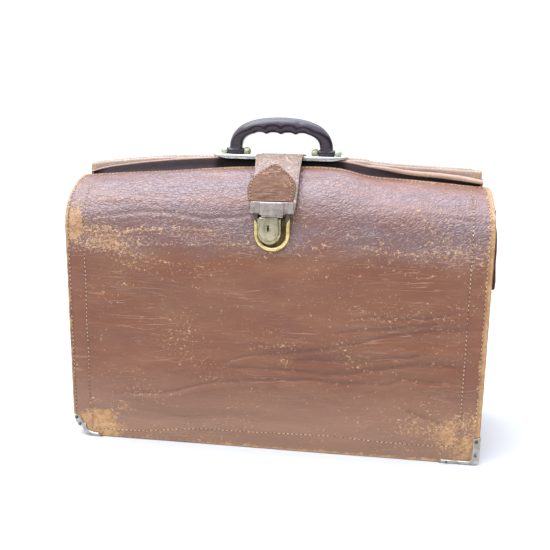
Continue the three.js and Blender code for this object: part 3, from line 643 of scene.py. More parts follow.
class Sheet:
    """A wall of the bag as a grid over x and the distance up the profile."""

    CORNER = 9.0  # radius of the bottom corners
    TOP_CORNER = 8.0

    def __init__(self, middle, end, step, side, hem=None):
        rows = int(390 / step)
        lower, upper = spline(end, rows), spline(middle, rows)
        fine = np.r_[0, 0.5, 1.4, 3.0]
        inner = np.linspace(-HALF_W + 3, HALF_W - 3, int((2 * HALF_W - 6) / step))
        x = np.r_[-HALF_W + fine[:-1], inner, (HALF_W - fine[:-1])[::-1]]
        self.x = x if side < 0 else x[::-1]
        share = (np.abs(self.x) / HALF_W) ** 1.45
        profile = upper[:, None] * (1 - share)[None, :, None] + lower[:, None] * share[None, :, None]
        self.s = self.lengths(profile)
        top = self.s[-1][None, :] - self.s
        width = HALF_W - corner_inset(self.s, self.CORNER) - corner_inset(top, self.TOP_CORNER)
        grid_x = self.x[None, :] * width / HALF_W
        self.points = wear_round(lean(np.dstack([grid_x, profile[:, :, 0], profile[:, :, 1]])))
        if hem is not None:
            rise = follow(hem, self.x) - self.points[-1, :, 2]
            self.points[..., 2] += rise * smooth((self.s - 215) / (self.s[-1] - 215))
        self.top = top
        self.side = side
        self.flat = np.dstack([grid_x, self.s, np.zeros_like(self.s)])

    @staticmethod
    def lengths(profile):
        """Distance up each column of the grid."""
        steps = np.linalg.norm(np.diff(profile, axis=0), axis=2)
        return np.vstack([np.zeros(profile.shape[1]), np.cumsum(steps, axis=0)])

    def press(self, height):
        """Moves the surface along its normal."""
        self.points = self.points + grid_normals(self.points) * height[:, :, None]

    def locate(self, x, s):
        """Point and normal at x and a distance s up the profile."""
        order = np.argsort(self.x)
        c = np.interp(x, self.x[order], order)
        low = int(min(max(math.floor(c), 0), len(self.x) - 2))
        f = c - low
        found = []
        for grid in (self.points, self.normals):
            ends = [[np.interp(s, self.s[:, k], grid[:, k, a]) for a in range(3)] for k in (low, low + 1)]
            found.append(np.array(ends[0]) * (1 - f) + np.array(ends[1]) * f)
        return found[0], found[1] / np.linalg.norm(found[1])

    def length_at(self, x):
        """Length of the whole profile at x."""
        order = np.argsort(self.x)
        return float(np.interp(x, self.x[order], self.s[-1][order]))

    def ready(self):
        self.normals = grid_normals(self.points)


# Long folds in the front leather, as (x, height) routes: pressed-in creases and raised, rubbed ridges.
CREASES = [
    [(-170, 50), (-138, 53.6), (-116, 55), (-74, 66), (-45, 72.5), (35, 78.6), (112, 78), (136, 84.5),
     (190, 86)],
    [(-69, 87), (-20, 101), (34, 108.6), (86, 120), (131, 133), (208, 141)],
    [(-56, 88), (17, 88.4), (60, 86), (117, 95), (142, 101.6), (175, 102.4), (205, 98)],
    [(7, 99.6), (70, 100.4), (132, 108.4), (170, 118)],
    [(80, 145), (111, 149.6), (131, 147.8), (200, 158)],
    [(53, 129), (131, 139.6), (190, 150)],
    [(120, 62), (150, 50), (182, 40), (206, 42)],
    [(-190, 240), (-120, 247), (-60, 243), (-10, 247)],
]
RIDGES = [
    [(-170, 222), (-148, 225.5), (-127, 228.4), (-106, 231.2), (-86, 231.2), (-57, 230), (-42, 225)],
    [(-150, 212), (-124, 214.8), (-86, 214.7), (-43, 217), (-14, 213.3)],
    [(-190, 214), (-157, 206.2), (-101, 195.5), (-60, 192)],
    [(-175, 199), (-137, 188), (-87, 172.5), (-50, 168)],
    [(-180, 176), (-140, 168), (-100, 150)],
    [(-200, 256), (-160, 261), (-110, 259), (-60, 265)],
    [(-195, 269), (-140, 276), (-80, 281)],
    [(30, 214), (80, 220), (120, 214), (170, 219)],
    [(60, 196), (110, 200), (150, 192), (200, 196)],
    [(-60, 96), (-10, 111), (40, 118)],
]


def fold_line(x, s, route, width, sharp=1.0):
    """Height near a route: 1 on it, fading to nothing to the sides and at its two ends."""
    route = np.asarray(route, float)
    fine = spline(route, 60)
    near = np.interp(x, fine[:, 0], fine[:, 1])
    wobble = noise(x / 30, s / 40, 3) * 1.3 + noise(x / 9, s / 20, 4) * 0.2
    ends = smooth((x - fine[0, 0]) / 24) * smooth((fine[-1, 0] - x) / 24)
    return np.exp(-(np.abs(s - near - wobble) / width) ** sharp) * ends


def wrinkles(sheet, seed, folds=(), ridge_lines=()):
    """Long shallow folds, creases and pebbled relief, calmer near the stitched edges."""
    x, s = sheet.flat[:, :, 0], sheet.flat[:, :, 1]
    inner = np.minimum(np.minimum(HALF_W - np.abs(x), s), sheet.top)
    calm = 0.2 + 0.8 * smooth(inner / 18 - 0.3)
    wander = fractal(x / 120, s / 60, seed + 30, 2) * 14
    swell = fractal(x / 170, (s + wander) / 42, seed, 2) * 1.9
    crease = ridges(x / 75, (s + wander * 1.4) / 13, seed + 7, 5)
    crease = crease * smooth(fractal(x / 90, s / 40, seed + 9, 2) * 2 + 0.3)
    small = ridges(x / 30, (s + wander * 2.0) / 6.5, seed + 17, 4)
    small = small * smooth(fractal(x / 60, s / 30, seed + 19, 2) * 2 + 0.2)
    uneven = fractal(x / 60, s / 60, seed + 3, 2)
    calm_top = 6 + 26 * smooth((x - 30) / 90)
    below_hem = 0.12 + 0.88 * smooth((sheet.top - 6 + uneven * 5) / calm_top)
    shoulder = smooth((s - 196 + uneven * 8) / 34) * below_hem
    slanted = s - x * 0.35
    hammered = fractal((x + 0.6 * s) / 8.5, slanted / 5.5, seed + 13, 2) * 0.28 * shoulder
    height = swell * calm - crease * 0.5 * calm - small * 0.25 * calm + hammered
    sheet.crease = np.zeros_like(x)
    sheet.rubbed = np.zeros_like(x)
    for route in folds:
        line = fold_line(x, s, route, 2.0, 1.6)
        height -= 0.95 * line - 0.55 * fold_line(x, s + 4.5, route, 4.4, 2.0)
        sheet.crease = np.maximum(sheet.crease, line)
    for route in ridge_lines:
        line = fold_line(x, s, route, 1.6, 1.6)
        height += 0.22 * line
        sheet.rubbed = np.maximum(sheet.rubbed, line)
    sheet.shoulder = shoulder
    sheet.press(height)
    sheet.ready()


def edge_wear(sheet, seed, front=True):
    """Wear near the edges and bottom corners, pebble grain on the shoulder (also the strength of a painted
    sheen there), and darkening: painted shade in the folds and along the stitch rows, and a darker band along
    the top edge.
    """
    x, s = sheet.flat[:, :, 0], sheet.flat[:, :, 1]
    side = HALF_W - np.abs(x)
    ragged = fractal(x / 9, s / 11, seed + 2, 3)
    strip = np.where(x > 0, 4.4, 1.0) + ragged * 1.4
    wear = 0.95 * smooth((strip - side) / 1.4 + 0.5)
    wear += 0.8 * smooth((3.0 + ragged * 2 - s) / 2.0) * (0.3 + 0.7 * smooth((x + 90) / 60))
    wear += 0.62 * np.exp(-(sheet.top / 5.5) ** 2)
    blob = fractal(x / 34, s / 20, seed + 8, 3)
    if front:
        right = smooth((x - 96 + blob * 40) / 70) * smooth((62 - s + blob * 16) / 30) * smooth((s - 2) / 24)
        corner = smooth((x - 168 + blob * 18) / 26) * smooth((44 - s + blob * 10) / 18)
        left = smooth((-x - 150 + blob * 20) / 34) * smooth((46 - s + blob * 14) / 24)
        wear += 0.30 * right + 0.34 * corner + 0.70 * left
        wear += 0.50 * smooth((-x - 184 + blob * 12) / 22) * np.exp(-((s - 229 + blob * 8) / 21) ** 2)
        wear += 0.36 * np.exp(-((x + 172) / 22) ** 2 - ((s - 219) / 13) ** 2)
        wear += 0.14 * smooth((-x - 190 + blob * 6) / 10) * smooth((s - 225) / 20)
        wear += 0.22 * smooth((x - 130) / 70) * np.exp(-((s - 219 + blob * 8) / 14) ** 2)
    wear += 0.16 * np.exp(-((s - 222) / 20) ** 2) + 0.10 * sheet.crease + 0.24 * sheet.rubbed
    wear += 0.13 * fractal(x / 60, s / 34, seed, 3)
    grain = np.clip(0.06 + 1.0 * sheet.shoulder * (0.75 + 0.5 * fractal(x / 80, s / 30, seed + 5, 2)), 0, 1)
    # Painted shade in the pressed-in creases.
    darkening = 0.5 * np.clip(sheet.crease * 1.2 - 0.35, 0, 1)
    # Painted shade along the grooves of the two stitch rows.
    for row in (3.2, 19.8):
        darkening = np.maximum(darkening, 0.3 * np.exp(-((side - row) / 1.0) ** 2) * (s > 6))
    darkening = np.maximum(darkening, 0.4 * smooth((10.5 - sheet.top) / 3))
    return np.dstack([wear, grain, darkening])


# ---- Stitching ----------------------------------------------------------------------------------
def ring_faces(start, sides, rings):
    """Side faces and the two end caps of a closed tube whose points begin at `start`."""
    faces = []
    for r in range(rings - 1):
        low = start + r * sides
        for k in range(sides):
            m = (k + 1) % sides
            faces.append((low + k, low + m, low + sides + m, low + sides + k))
    faces.append(tuple(start + k for k in range(sides))[::-1])
    faces.append(tuple(start + (rings - 1) * sides + k for k in range(sides)))
    return faces


class Seam:
    """Collects stitches, and the needle holes between them, into one mesh."""

    # Along a stitch: share of its length, lift and width.
    SECTIONS = ((0.0, -0.35, 0.35), (0.22, 0.22, 0.9), (0.5, 0.42, 1.0), (0.78, 0.22, 0.9),
                (1.0, -0.35, 0.35))
    STITCH_HEIGHT = 0.5
    HOLE_RADIUS = 0.5
    FILL = 0.66  # share of the pitch that a stitch covers

    def __init__(self, name, seed):
        self.name = name
        self.random = np.random.default_rng(seed)
        self.vertices, self.faces, self.indices = [], [], []

    def stitch(self, a, b, normal, width):
        """One thread from a to b, bowed up from the surface and sunk at its ends."""
        along = b - a
        length = np.linalg.norm(along)
        along = along / length
        side = np.cross(normal, along)
        side /= np.linalg.norm(side)
        start = len(self.vertices)
        height = self.STITCH_HEIGHT
        for t, lift, wide in self.SECTIONS:
            centre = a + along * length * t + normal * lift * height
            for k in range(6):
                angle = k * math.pi / 3
                self.vertices.append(centre + side * math.cos(angle) * width * 0.5 * wide
                                     + normal * math.sin(angle) * height * 0.6 * wide)
        faces = ring_faces(start, 6, len(self.SECTIONS))
        self.faces += faces
        self.indices += [0] * len(faces)

    def hole(self, centre, normal, along):
        """A near-black disc just above the surface: painted shade standing in for the needle hole."""
        side = np.cross(normal, along)
        side /= np.linalg.norm(side)
        start = len(self.vertices)
        for lift in (-0.3, 0.07):
            for k in range(7):
                angle = k * 2 * math.pi / 7
                out = side * math.cos(angle) + along * math.sin(angle)
                self.vertices.append(centre + normal * lift + out * self.HOLE_RADIUS)
        faces = ring_faces(start, 7, 2)
        self.faces += faces
        self.indices += [1] * len(faces)

    def run(self, locate, length, pitch=4.4, slant=0.0, miss=0.03, width=0.95):
        """Stitches along a path: locate(distance) gives a point and normal."""
        count = max(int(length / pitch), 1)
        pitch = length / count
        for i in range(count):
            here, normal = locate(i * pitch)
            a, _ = locate((i + (1 - self.FILL) / 2) * pitch)
            b, _ = locate((i + (1 + self.FILL) / 2) * pitch)
            ahead, _ = locate((i + 0.1) * pitch)
            along = (ahead - here) / max(np.linalg.norm(ahead - here), 1e-9)
            self.hole(here, normal, along)
            if self.random.random() < miss:
                continue
            side = np.cross(normal, along) * (slant + self.random.normal(0, 0.12))
            self.stitch(a - side, b + side, normal, width)

    def build(self):
        vertices = np.array(self.vertices)
        obj = new_object(self.name, vertices, self.faces, [thread, hole_shade], self.indices, sharp=0)
        fix_normals(obj)
        paint(obj, vertices)
        return obj


def bend_with_front(obj):
    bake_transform(obj)


def bend_with_back(obj):
    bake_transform(obj)


# ---- Front and back leathers --------------------------------------------------------------------
SIDE_ROWS = (-212.0, -195.4, 195.2, 210.4)


def side_rows(seam, sheet):
    """The upright rows near the two ends of a wall."""
    for x in SIDE_ROWS:
        low = 30 if x < -200 else 22
        high = sheet.length_at(x) - 2
        seam.run(lambda d, x=x, low=low: sheet.locate(x, low + d), high - low, slant=0.12)


def bottom_row(sheet, reach=195.0):
    """The bottom row dips towards the worn left corner."""
    def locate(d):
        x = d - reach
        return sheet.locate(x, 18.0 - 10.5 * smooth((-x - 60) / 90) + 1.2 * math.sin(x / 31))
    return locate


def front_leather_panel():
    """The outer front wall and shoulder, with a free stitched top edge."""
    front = Sheet(FRONT_MIDDLE, FRONT_END, 2.0, -1, hem=HEM_HEIGHT)
    wrinkles(front, 11, CREASES, RIDGES)
    panel = shell("outer_front_panel", front.points, LEATHER,
                  [front_leather, flesh, ochre_edge, brown_edge], front.flat, edge_wear(front, 21))
    for polygon in panel.data.polygons:
        if polygon.material_index == 2 and polygon.center.x < -0.2:
            polygon.material_index = 3
    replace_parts(panel, "front_panel", "front_shoulder")
    bend_with_front(panel)

    seam = Seam("front_panel_stitching", 5)
    side_rows(seam, front)
    seam.run(bottom_row(front), 390, pitch=4.6, miss=0.08)
    seam.run(lambda d: front.locate(-208 + d, front.length_at(-208 + d) - 4.2), 416, pitch=4.0, slant=0.4)
    bend_with_front(seam.build())


front_leather_panel()


def back_leather_panel():
    """The back wall and shoulder."""
    back = Sheet(BACK_MIDDLE, BACK_END, 3.0, 1)
    wrinkles(back, 51)
    panel = shell("back_leather", back.points, LEATHER, [front_leather, flesh, ochre_edge],
                  back.flat, edge_wear(back, 61, front=False))
    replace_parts(panel, "back_panel", "back_shoulder")
    bend_with_back(panel)
    seam = Seam("back_panel_stitching", 6)
    side_rows(seam, back)
    seam.run(bottom_row(back), 390, pitch=4.6, miss=0.08)
    bend_with_back(seam.build())


back_leather_panel()


# ---- Inner front wall, front jaw and back jaw ---------------------------------------------------
# The inner wall hangs from the front jaw's rolled edge and forms the back of the flat pocket.
def roll_centre(x):
    """Centre (y, z) and radius of the roll along the front jaw's edge."""
    radius = follow(ROLL_RADIUS, x)
    return -11.9 - radius - 4.0 * smooth((np.abs(x) - 186) / 22), follow(ROLL_UNDERSIDE, x) + radius, radius


def inner_front():
    """Grid of the wall behind the pocket with the roll on top, its rest shape and the wall's row count."""
    xs = np.linspace(-208, 208, 150)
    out = np.abs(xs)
    low = [(-70.4, 180), (-70.4, 90), (-70.4, 6)]
    middle = spline([(-16.2, 297.2), (-17.4, 291), (-24, 287.2), (-36, 283), (-48, 276.8), (-58.5, 268),
                     (-66, 256), (-69.2, 242), (-70.2, 225)] + low, 90)
    end = spline([(-16.2, 280.2), (-18.4, 276.4), (-25.5, 272.6), (-36, 268.4), (-47, 263.4), (-56.5, 256.6),
                  (-64, 248), (-68.6, 237), (-70.2, 224)] + low, 90)
    share = (out / 208) ** 1.8
    wall = middle[:, None] * (1 - share)[None, :, None] + end[:, None] * share[None, :, None]
    # The roll wraps the jaw's rod from behind, over the top and down the front, thick only on the right.
    roll_y, roll_z, radius = roll_centre(xs)
    down = np.r_[0, np.cumsum(np.hypot(*np.diff(middle, axis=0).T))][:, None]
    wall[:, :, 1] += (roll_z - radius - 1.0 - wall[0, :, 1]) * (1 - smooth(down / 70))
    turns = np.radians(np.linspace(-60, 205, 22))[:, None]
    roll = np.dstack([roll_y + radius * np.cos(turns), roll_z + radius * np.sin(turns)])
    profile = np.concatenate([roll, wall])[::-1]
    grid = np.dstack([np.broadcast_to(xs, profile.shape[:2]), profile[:, :, 0], profile[:, :, 1]])
    s = Sheet.lengths(profile)
    flat = np.dstack([grid[:, :, 0], s, np.zeros_like(s)])
    lump = fractal(grid[:, :, 0] / 26, s / 9, 71, 2) * 0.22 * (s > s[90])
    grid = grid + grid_normals(grid) * lump[:, :, None]
    return grid, flat, 90


def front_jaw_wall():
    """The inner wall in near-black: dark leather darkened further as painted shade inside the pocket's mouth,
    with the roll in its own paler leather.
    """
    grid, flat, wall_rows = inner_front()
    mask = np.zeros(grid.shape)
    # Painted shade: the middle stretch, where the roll lies under the handle plate's rim, is darkened through
    # the blue mask.
    mask[:, :, 2] = 0.9 * smooth((74 - np.abs(grid[:, :, 0])) / 10)
    wall = shell("front_jaw_wall_and_roll", grid, 1.2,
                 [shaded_inner_leather, flesh, brown_edge, roll_leather], flat, mask)
    rows, cols = grid.shape[:2]
    index = np.array([p.material_index for p in wall.data.polygons])
    roll_faces = np.arange((rows - 1) * (cols - 1)) // (cols - 1) >= wall_rows
    index[:(rows - 1) * (cols - 1)][roll_faces] = 3
    wall.data.polygons.foreach_set("material_index", index.astype(np.int32))
    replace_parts(wall, "pocket_back", "front_jaw_leather", "front_roll")
    bend_with_front(wall)


front_jaw_wall()


def front_jaw_frame():
    """A steel rod inside the roll, with a flat arm down to the hinge pin at each end."""
    rings = []
    around = np.linspace(0, 2 * math.pi, 13)[:-1]
    for x in np.linspace(-206, 206, 80):
        y, z, _ = roll_centre(x)
        rings.append(np.c_[np.full(12, x), y + 0.9 * np.cos(around), z + 0.9 * np.sin(around)])
    rod = loft("front_jaw_rod", rings, [steel], sharp=0)
    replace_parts(rod, "front_frame")
    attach(rod, "front_jaw")
    for word, side in (("right", 1), ("left", -1)):
        y, z, _ = roll_centre(206.0 * side)
        eye = [(6 * math.cos(a), PIN_Z + 6 * math.sin(a)) for a in np.radians(np.linspace(170, 370, 16))]
        arm_outline = np.array(eye + [(y + 1.2, z), (y - 1.2, z)])
        faces = [np.c_[np.full(18, x * side), arm_outline] for x in (206, 208.2)]
        arm = loft(f"front_jaw_arm_{word}", faces, [steel])
        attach(arm, "front_jaw")


front_jaw_frame()


def cover_drop(x):
    """How far the back jaw's flat leather cover lies below its highest line."""
    return 302.0 - follow(COVER_HEIGHT, x)


def cover_surface():
    """Outer face of the cover, with its rest-shape coordinates."""
    xs = np.r_[-211, -210.6, -209.6, np.linspace(-207, 204, 140), 206.6, 207.6, 208]
    section = [(-8.6, 294.0), (-10.6, 294.2), (-11.2, 296), (-11.2, 299.4), (-10.4, 301.2), (-8.6, 301.9),
               (-4, 302.0), (4, 302.0), (12, 302.0), (17.5, 301.8), (20, 301.2), (21.2, 299.4), (21.2, 296),
               (20.6, 294.2), (18.8, 294)]
    curve = spline(section, 56)
    ends = 1 - 0.05 * smooth((np.abs(xs + 1.5) - 207.5) / 2)
    warp = 0.9 * noise(xs / 44, xs * 0 + 0.3, 83) * smooth((np.abs(xs) - 80) / 30)
    y = 5 + (curve[:, 0] - 5)[:, None] * ends[None, :]
    z = 298 + (curve[:, 1] - 298)[:, None] * ends[None, :] - cover_drop(xs)[None, :]
    z = z + (warp * (1 + 0.5 * np.sin(xs / 30)))[None, :] * smooth((y + 2) / 16)
    z = z - 5.0 * smooth((300 - curve[:, 1]) / 5)[:, None] * smooth((np.abs(xs) - 62) / 50)[None, :] * (y < 0)
    grid = np.dstack([np.broadcast_to(xs, y.shape), y, z])
    s = Sheet.lengths(grid[:, :, 1:])
    flat = np.dstack([grid[:, :, 0], s, np.zeros_like(s)])
    lump = fractal(grid[:, :, 0] / 40, s / 14, 81, 3) * 0.3
    return grid + grid_normals(grid) * lump[:, :, None], flat


def back_jaw_cover():
    """The cover and its two rows of stitching."""
    grid, flat = cover_surface()
    mask = np.zeros(grid.shape)
    mask[:, :, 0] = 0.3 * np.exp(-(209.5 - np.abs(grid[:, :, 0] + 1.5)) / 6)
    cover = shell("back_jaw_cover", grid, 1.6, [cover_leather, flesh, ochre_edge], flat, mask)
    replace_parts(cover, "back_cover")
    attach(cover, "back_jaw")

    seam = Seam("back_jaw_stitching", 9)
    for y in (-7.6, 17.4):
        def on_cover(d):
            return np.array([d - 206, y, 302.1 - cover_drop(d - 206)]), np.array([0, 0, 1.0])
        seam.run(on_cover, 408, pitch=4.0, width=0.8)
    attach(seam.build(), "back_jaw")


back_jaw_cover()


# ---- Ends and base ------------------------------------------------------------------------------
def end_panel(name, side, node):
    """The upright leather at one end."""
    cols, rows = 60, 100
    v = np.linspace(0, 1, rows)
    u = np.linspace(-1, 1, cols)
    z_low, z_side, z_mid = 3.4, 238.0, 254.0
    half = 71.5 - 4.0 * np.clip(1 - v * 14, 0, 1) ** 2
    y = u[None, :] * half[:, None]
    top = z_side + (z_mid - z_side) * smooth((71.5 - np.abs(y)) / 42)
    z = z_low + (top - z_low) * v[:, None]
    dish = 1.6 * np.cos(u * math.pi / 2)[None, :] * np.sin(v * math.pi)[:, None]
    relief = fractal(y / 50, z / 40, 91, 3) * 0.7 - ridges(y / 30, z / 60, 95, 5) * 0.4
    x = HALF_W - 0.2 - dish + relief * 0.5 - 0.6
    grid = wear_round(np.dstack([x * side, y * side, z]))
    flat = np.dstack([y, z, np.zeros_like(z)])
    wear = 0.3 * np.exp(-(half[:, None] - np.abs(y)) / 6) + 0.25 * np.exp(-z / 12)
    mask = np.dstack([wear, 0.2 + 0 * z, 0 * z])
    obj = shell(name, grid, 2.2, [side_leather, flesh, brown_edge], flat, mask)
    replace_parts(obj, node)
    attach(obj, "tub")


end_panel("right_end_leather", 1, "right_gusset")
end_panel("left_end_leather", -1, "left_gusset")


def cheek(name, side, facing, node, body):
    """Upper corner of an end, folded inwards under the shoulder."""
    outer = spline([(56, 240), (57.6, 247), (54, 254), (47, 260), (38, 264.4), (28, 266.8), (17, 268),
                    (8, 268.4)], 40)
    inner = spline([(52, 239.6), (46, 240), (40, 240.4), (33, 241), (25, 242), (17, 244), (11, 246),
                    (8, 249)], 40)
    v = np.linspace(0, 1, 16)[:, None]
    y = inner[None, :, 0] * (1 - v) + outer[None, :, 0] * v
    z = inner[None, :, 1] * (1 - v) + outer[None, :, 1] * v
    pleat = 0.5 * np.sin(v * 9) * np.sin(np.linspace(0, math.pi, 40))[None, :]
    x = 211.2 + pleat * 0.3 - 0.3
    grid = np.dstack([x * side, y * facing, z])
    if side * facing < 0:
        grid = grid[:, ::-1]
    flat = np.dstack([grid[:, :, 1], z, 0 * z])
    obj = shell(name, grid, 1.6, [side_leather, flesh, brown_edge], flat, np.zeros(grid.shape))
    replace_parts(obj, node)
    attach(obj, body)


for side, word in ((1, "right"), (-1, "left")):
    cheek(f"front_end_fold_{word}", side, -1, f"front_cheek_{word}", "front_jaw")
    cheek(f"back_end_fold_{word}", side, 1, f"back_cheek_{word}", "back_jaw")


def side_tab(name, side, node):
    """A strap folded over the end of the bag."""
    line = spline([(215.5, 254), (215.7, 246), (216.6, 240), (218, 232), (219.2, 222), (219.6, 207),
                   (220.4, 190), (220.8, 171)], 60)
    widths = np.linspace(-24, 24, 28)
    length = np.r_[0, np.cumsum(np.linalg.norm(np.diff(line, axis=0), axis=1))]
    left = length[-1] - length
    shrink = 1 - corner_inset(left, 5) / 24
    y = widths[None, :] * shrink[:, None]
    along = np.gradient(line, axis=0)
    normal = np.c_[along[:, 1], -along[:, 0]]
    normal /= np.linalg.norm(normal, axis=1, keepdims=True)
    outer = line - normal * 4.0
    relief = fractal(y / 18, length[:, None] / 12, 33, 3) * 0.35
    x = outer[:, :1] + relief
    z = np.broadcast_to(outer[:, 1:], y.shape)
    grid = np.dstack([x * side, y * side, z])
    flat = np.dstack([y, np.broadcast_to(length[:, None], y.shape), 0 * y])
    low = smooth((200 - z) / 8)
    mask = np.dstack([0.75 * (1 - low), 0.35 + 0 * z, 0.75 * low])
    obj = shell(name, grid, 3.0, [side_leather, flesh, brown_edge], flat, mask)
    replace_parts(obj, node)
    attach(obj, "tub")


side_tab("right_side_tab", 1, "side_tab_right")
side_tab("left_side_tab", -1, "side_tab_left")


def base_leather():
    """The bottom leather, rounded at its corners."""
    half_size = np.array((211.5, 71.5))
    corner = 12.0
    plan = np.dstack(np.meshgrid(np.linspace(-1, 1, 110), np.linspace(-1, 1, 44))) * half_size
    over = np.clip(np.abs(plan) - (half_size - corner), 0, None)
    rounded = np.clip(np.linalg.norm(over, axis=2, keepdims=True) / corner, 1, None)
    plan = np.sign(plan) * (np.minimum(np.abs(plan), half_size - corner) + over / rounded)
    x, y = plan[..., 0], plan[..., 1]
    z = 0.45 + 0.3 * fractal(x / 50, y / 40, 77, 3)
    grid = wear_round(np.dstack([x, y, np.clip(z, 0.05, None)])[::-1])
    flat = np.dstack([grid[:, :, 0], grid[:, :, 1], 0 * z])
    mask = np.dstack([0.35 * np.exp(-(half_size[1] - np.abs(grid[:, :, 1])) / 8), 0.3 + 0 * z, 0 * z])
    obj = shell("base_leather", grid, 2.4, [side_leather, flesh, ochre_edge], flat, mask)
    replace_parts(obj, "bottom_panel")
    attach(obj, "tub")


base_leather()


# ---- Strap, patch and hasp ----------------------------------------------------------------------
STRAP_HALF = 24.6
STRAP_LINE = spline([(19.6, 303.6), (17.6, 304.5), (15.4, 305.5), (12.5, 306.0), (8, 305.8), (0, 305.5),
                     (-8, 305.8), (-14, 306.2), (-18, 306.3), (-22, 305.7), (-27, 304.2), (-34, 301.4),
                     (-48.5, 293.6), (-61.5, 281.5), (-71.5, 268.4), (-78.5, 258), (-82.2, 250.6)], 130)
PATCH_SHIFT = -0.9  # the patch sits a little left of the strap's middle
PATCH_TOP, PATCH_LOW = 297.2, 262.6
# Half width of the patch, as (height, half).
PATCH_HALF = [(262, 21.2), (266, 22.4), (270, 23.4), (275, 23.8), (278, 23.5), (281, 22.4), (283.5, 20.6),
              (286.4, 18.0), (289.5, 14.2), (292.6, 9.8), (295, 6.4), (296.4, 4.2), (297.2, 2.0)]
HASP_FACE = -86.2
HASP_X = 2.3


def strap_edges(z):
    """Left and right edge of the strap at a height: it narrows where it turns down over the mouth."""
    left = np.interp(z, [250, 291.5, 300, 304, 306], [-20.2, -20.6, -22.4, -24, -25])
    right = np.interp(z, [250, 262, 275, 306], [23.4, 24.6, 25.2, 24.8])
    return left, right


class Ribbon:
    """The outer face of a band that follows a line in (y, z)."""

    def __init__(self, line, lift=0.0):
        along = np.gradient(line, axis=0)
        self.normal = np.c_[along[:, 1], -along[:, 0]]
        self.normal /= np.linalg.norm(self.normal, axis=1, keepdims=True)
        self.line = line + self.normal * lift
        self.s = np.r_[0, np.cumsum(np.linalg.norm(np.diff(self.line, axis=0), axis=1))]

    def locate(self, x, s):
        """Point and normal at a distance s along the band."""
        y, z = (np.interp(s, self.s, self.line[:, k]) for k in (0, 1))
        ny, nz = (np.interp(s, self.s, self.normal[:, k]) for k in (0, 1))
        return np.array([x, y, z]), np.array([0, ny, nz])

    def at_height(self, z):
        """Distance along the line where its front part reaches a height."""
        half = int(np.argmax(self.line[:, 1]))
        return float(np.interp(-z, -self.line[half:, 1], self.s[half:]))


ribbon = Ribbon(STRAP_LINE)
patch_ribbon = Ribbon(STRAP_LINE, 1.8)


def closing_strap():
    """One band from its sewn end behind the handle down to the hasp."""
    share = np.linspace(1, -1, 40)[None, :]
    left, right = strap_edges(ribbon.line[:, 1:])
    xs = (left + right) / 2 + share * (right - left) / 2
    lump = fractal(xs / 16, ribbon.s[:, None] / 11, 41, 3) * 0.2
    edge_drop = -0.5 * np.exp(-(1 - np.abs(share)) * STRAP_HALF / 1.2)
    y = ribbon.line[:, :1] + ribbon.normal[:, :1] * (lump + edge_drop)
    z = ribbon.line[:, 1:] + ribbon.normal[:, 1:] * (lump + edge_drop)
    grid = np.dstack([xs, y, z])
    flat = np.dstack([xs, np.broadcast_to(ribbon.s[:, None], y.shape), 0 * y])
    mask = np.zeros(grid.shape)
    mask[:, :, 1] = 0.2
    strap = shell("closing_strap", grid, 1.3, [strap_leather, flesh, brown_edge], flat, mask)
    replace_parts(strap, "strap_anchor", "strap")
    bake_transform(strap)


closing_strap()


def patch_half(height):
    """Half width of the spade-shaped patch at a height."""
    return follow(PATCH_HALF, height)


def strap_patch():
    """The spade-shaped patch, buckled across its middle, and its stitching."""
    start, stop = patch_ribbon.at_height(PATCH_TOP), patch_ribbon.at_height(PATCH_LOW)
    rows, cols = 44, 34
    grid = np.zeros((rows, cols, 3))
    flat = np.zeros_like(grid)
    for r, s in enumerate(np.linspace(start, stop, rows)):
        centre, normal = patch_ribbon.locate(0, s)
        reach = patch_half(centre[2])
        for c, share in enumerate(np.linspace(1, -1, cols)):
            x = reach * share
            buckle = (fractal(np.array(x / 16), np.array(s / 5.5), 47, 2) * 0.5
                      - ridges(np.array(x / 20), np.array(s / 6), 48, 4) * 0.5) * (1 - share ** 4)
            grid[r, c] = centre + [x + PATCH_SHIFT, 0, 0] + normal * (float(buckle) - 0.5 * abs(share) ** 12)
            flat[r, c] = (x, s, 0)
    patch = shell("strap_patch_leather", grid, 1.7, [patch_leather, flesh, brown_edge], flat,
                  np.zeros(grid.shape))
    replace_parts(patch, "strap_patch")
    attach(patch, "closing_strap")

    seam = Seam("patch_stitching", 7)
    outline = []
    for side in (-1, 1):
        edge = []
        for s in np.linspace(stop - 1, start + 3, 50):
            centre, normal = patch_ribbon.locate(0, s)
            reach = max(patch_half(centre[2]) - 2.6, 0.6)
            edge.append(np.r_[centre + [side * reach + PATCH_SHIFT, 0, 0], normal])
        outline += edge if side < 0 else edge[::-1]
    outline = np.array(outline)
    outline_length = np.r_[0, np.cumsum(np.linalg.norm(np.diff(outline[:, :3], axis=0), axis=1))]

    def on_patch(d):
        v = np.array([np.interp(d, outline_length, outline[:, k]) for k in range(6)])
        return v[:3], v[3:] / np.linalg.norm(v[3:])

    seam.run(on_patch, outline_length[-1], pitch=3.4, width=0.8)
    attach(seam.build(), "closing_strap")


strap_patch()


def strap_stitching():
    """A row along each edge of the strap and one across its sewn end."""
    seam = Seam("strap_stitching", 8)
    for inset in (2.6, -2.6):
        def beside_edge(d):
            centre, _ = ribbon.locate(0, 4 + d)
            edges = strap_edges(centre[2])
            return ribbon.locate(edges[0 if inset > 0 else 1] + inset, 4 + d)
        seam.run(beside_edge, ribbon.at_height(294) - 4, pitch=3.8, width=0.75, miss=0.1)
    seam.run(lambda d: ribbon.locate(-STRAP_HALF + 3 + d, 3.0), 2 * STRAP_HALF - 6, pitch=3.8, width=0.75)
    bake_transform(seam.build())


strap_stitching()


def shifted(outline, x):
    """The outline moved sideways."""
    return [(u + x, v) for u, v in outline]


def mirrored(half):
    """Left half of an outline, from the top down, with its mirror image added."""
    return half + [(-x, z) for x, z in half[::-1]]


def hasp_part(name, half, back, front, **look):
    """A plate of the hasp from the left half of its outline."""
    obj = slab(name, shifted(mirrored(half), HASP_X), back, front, [hasp_metal], **look)
    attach(obj, "closing_strap")
    return obj


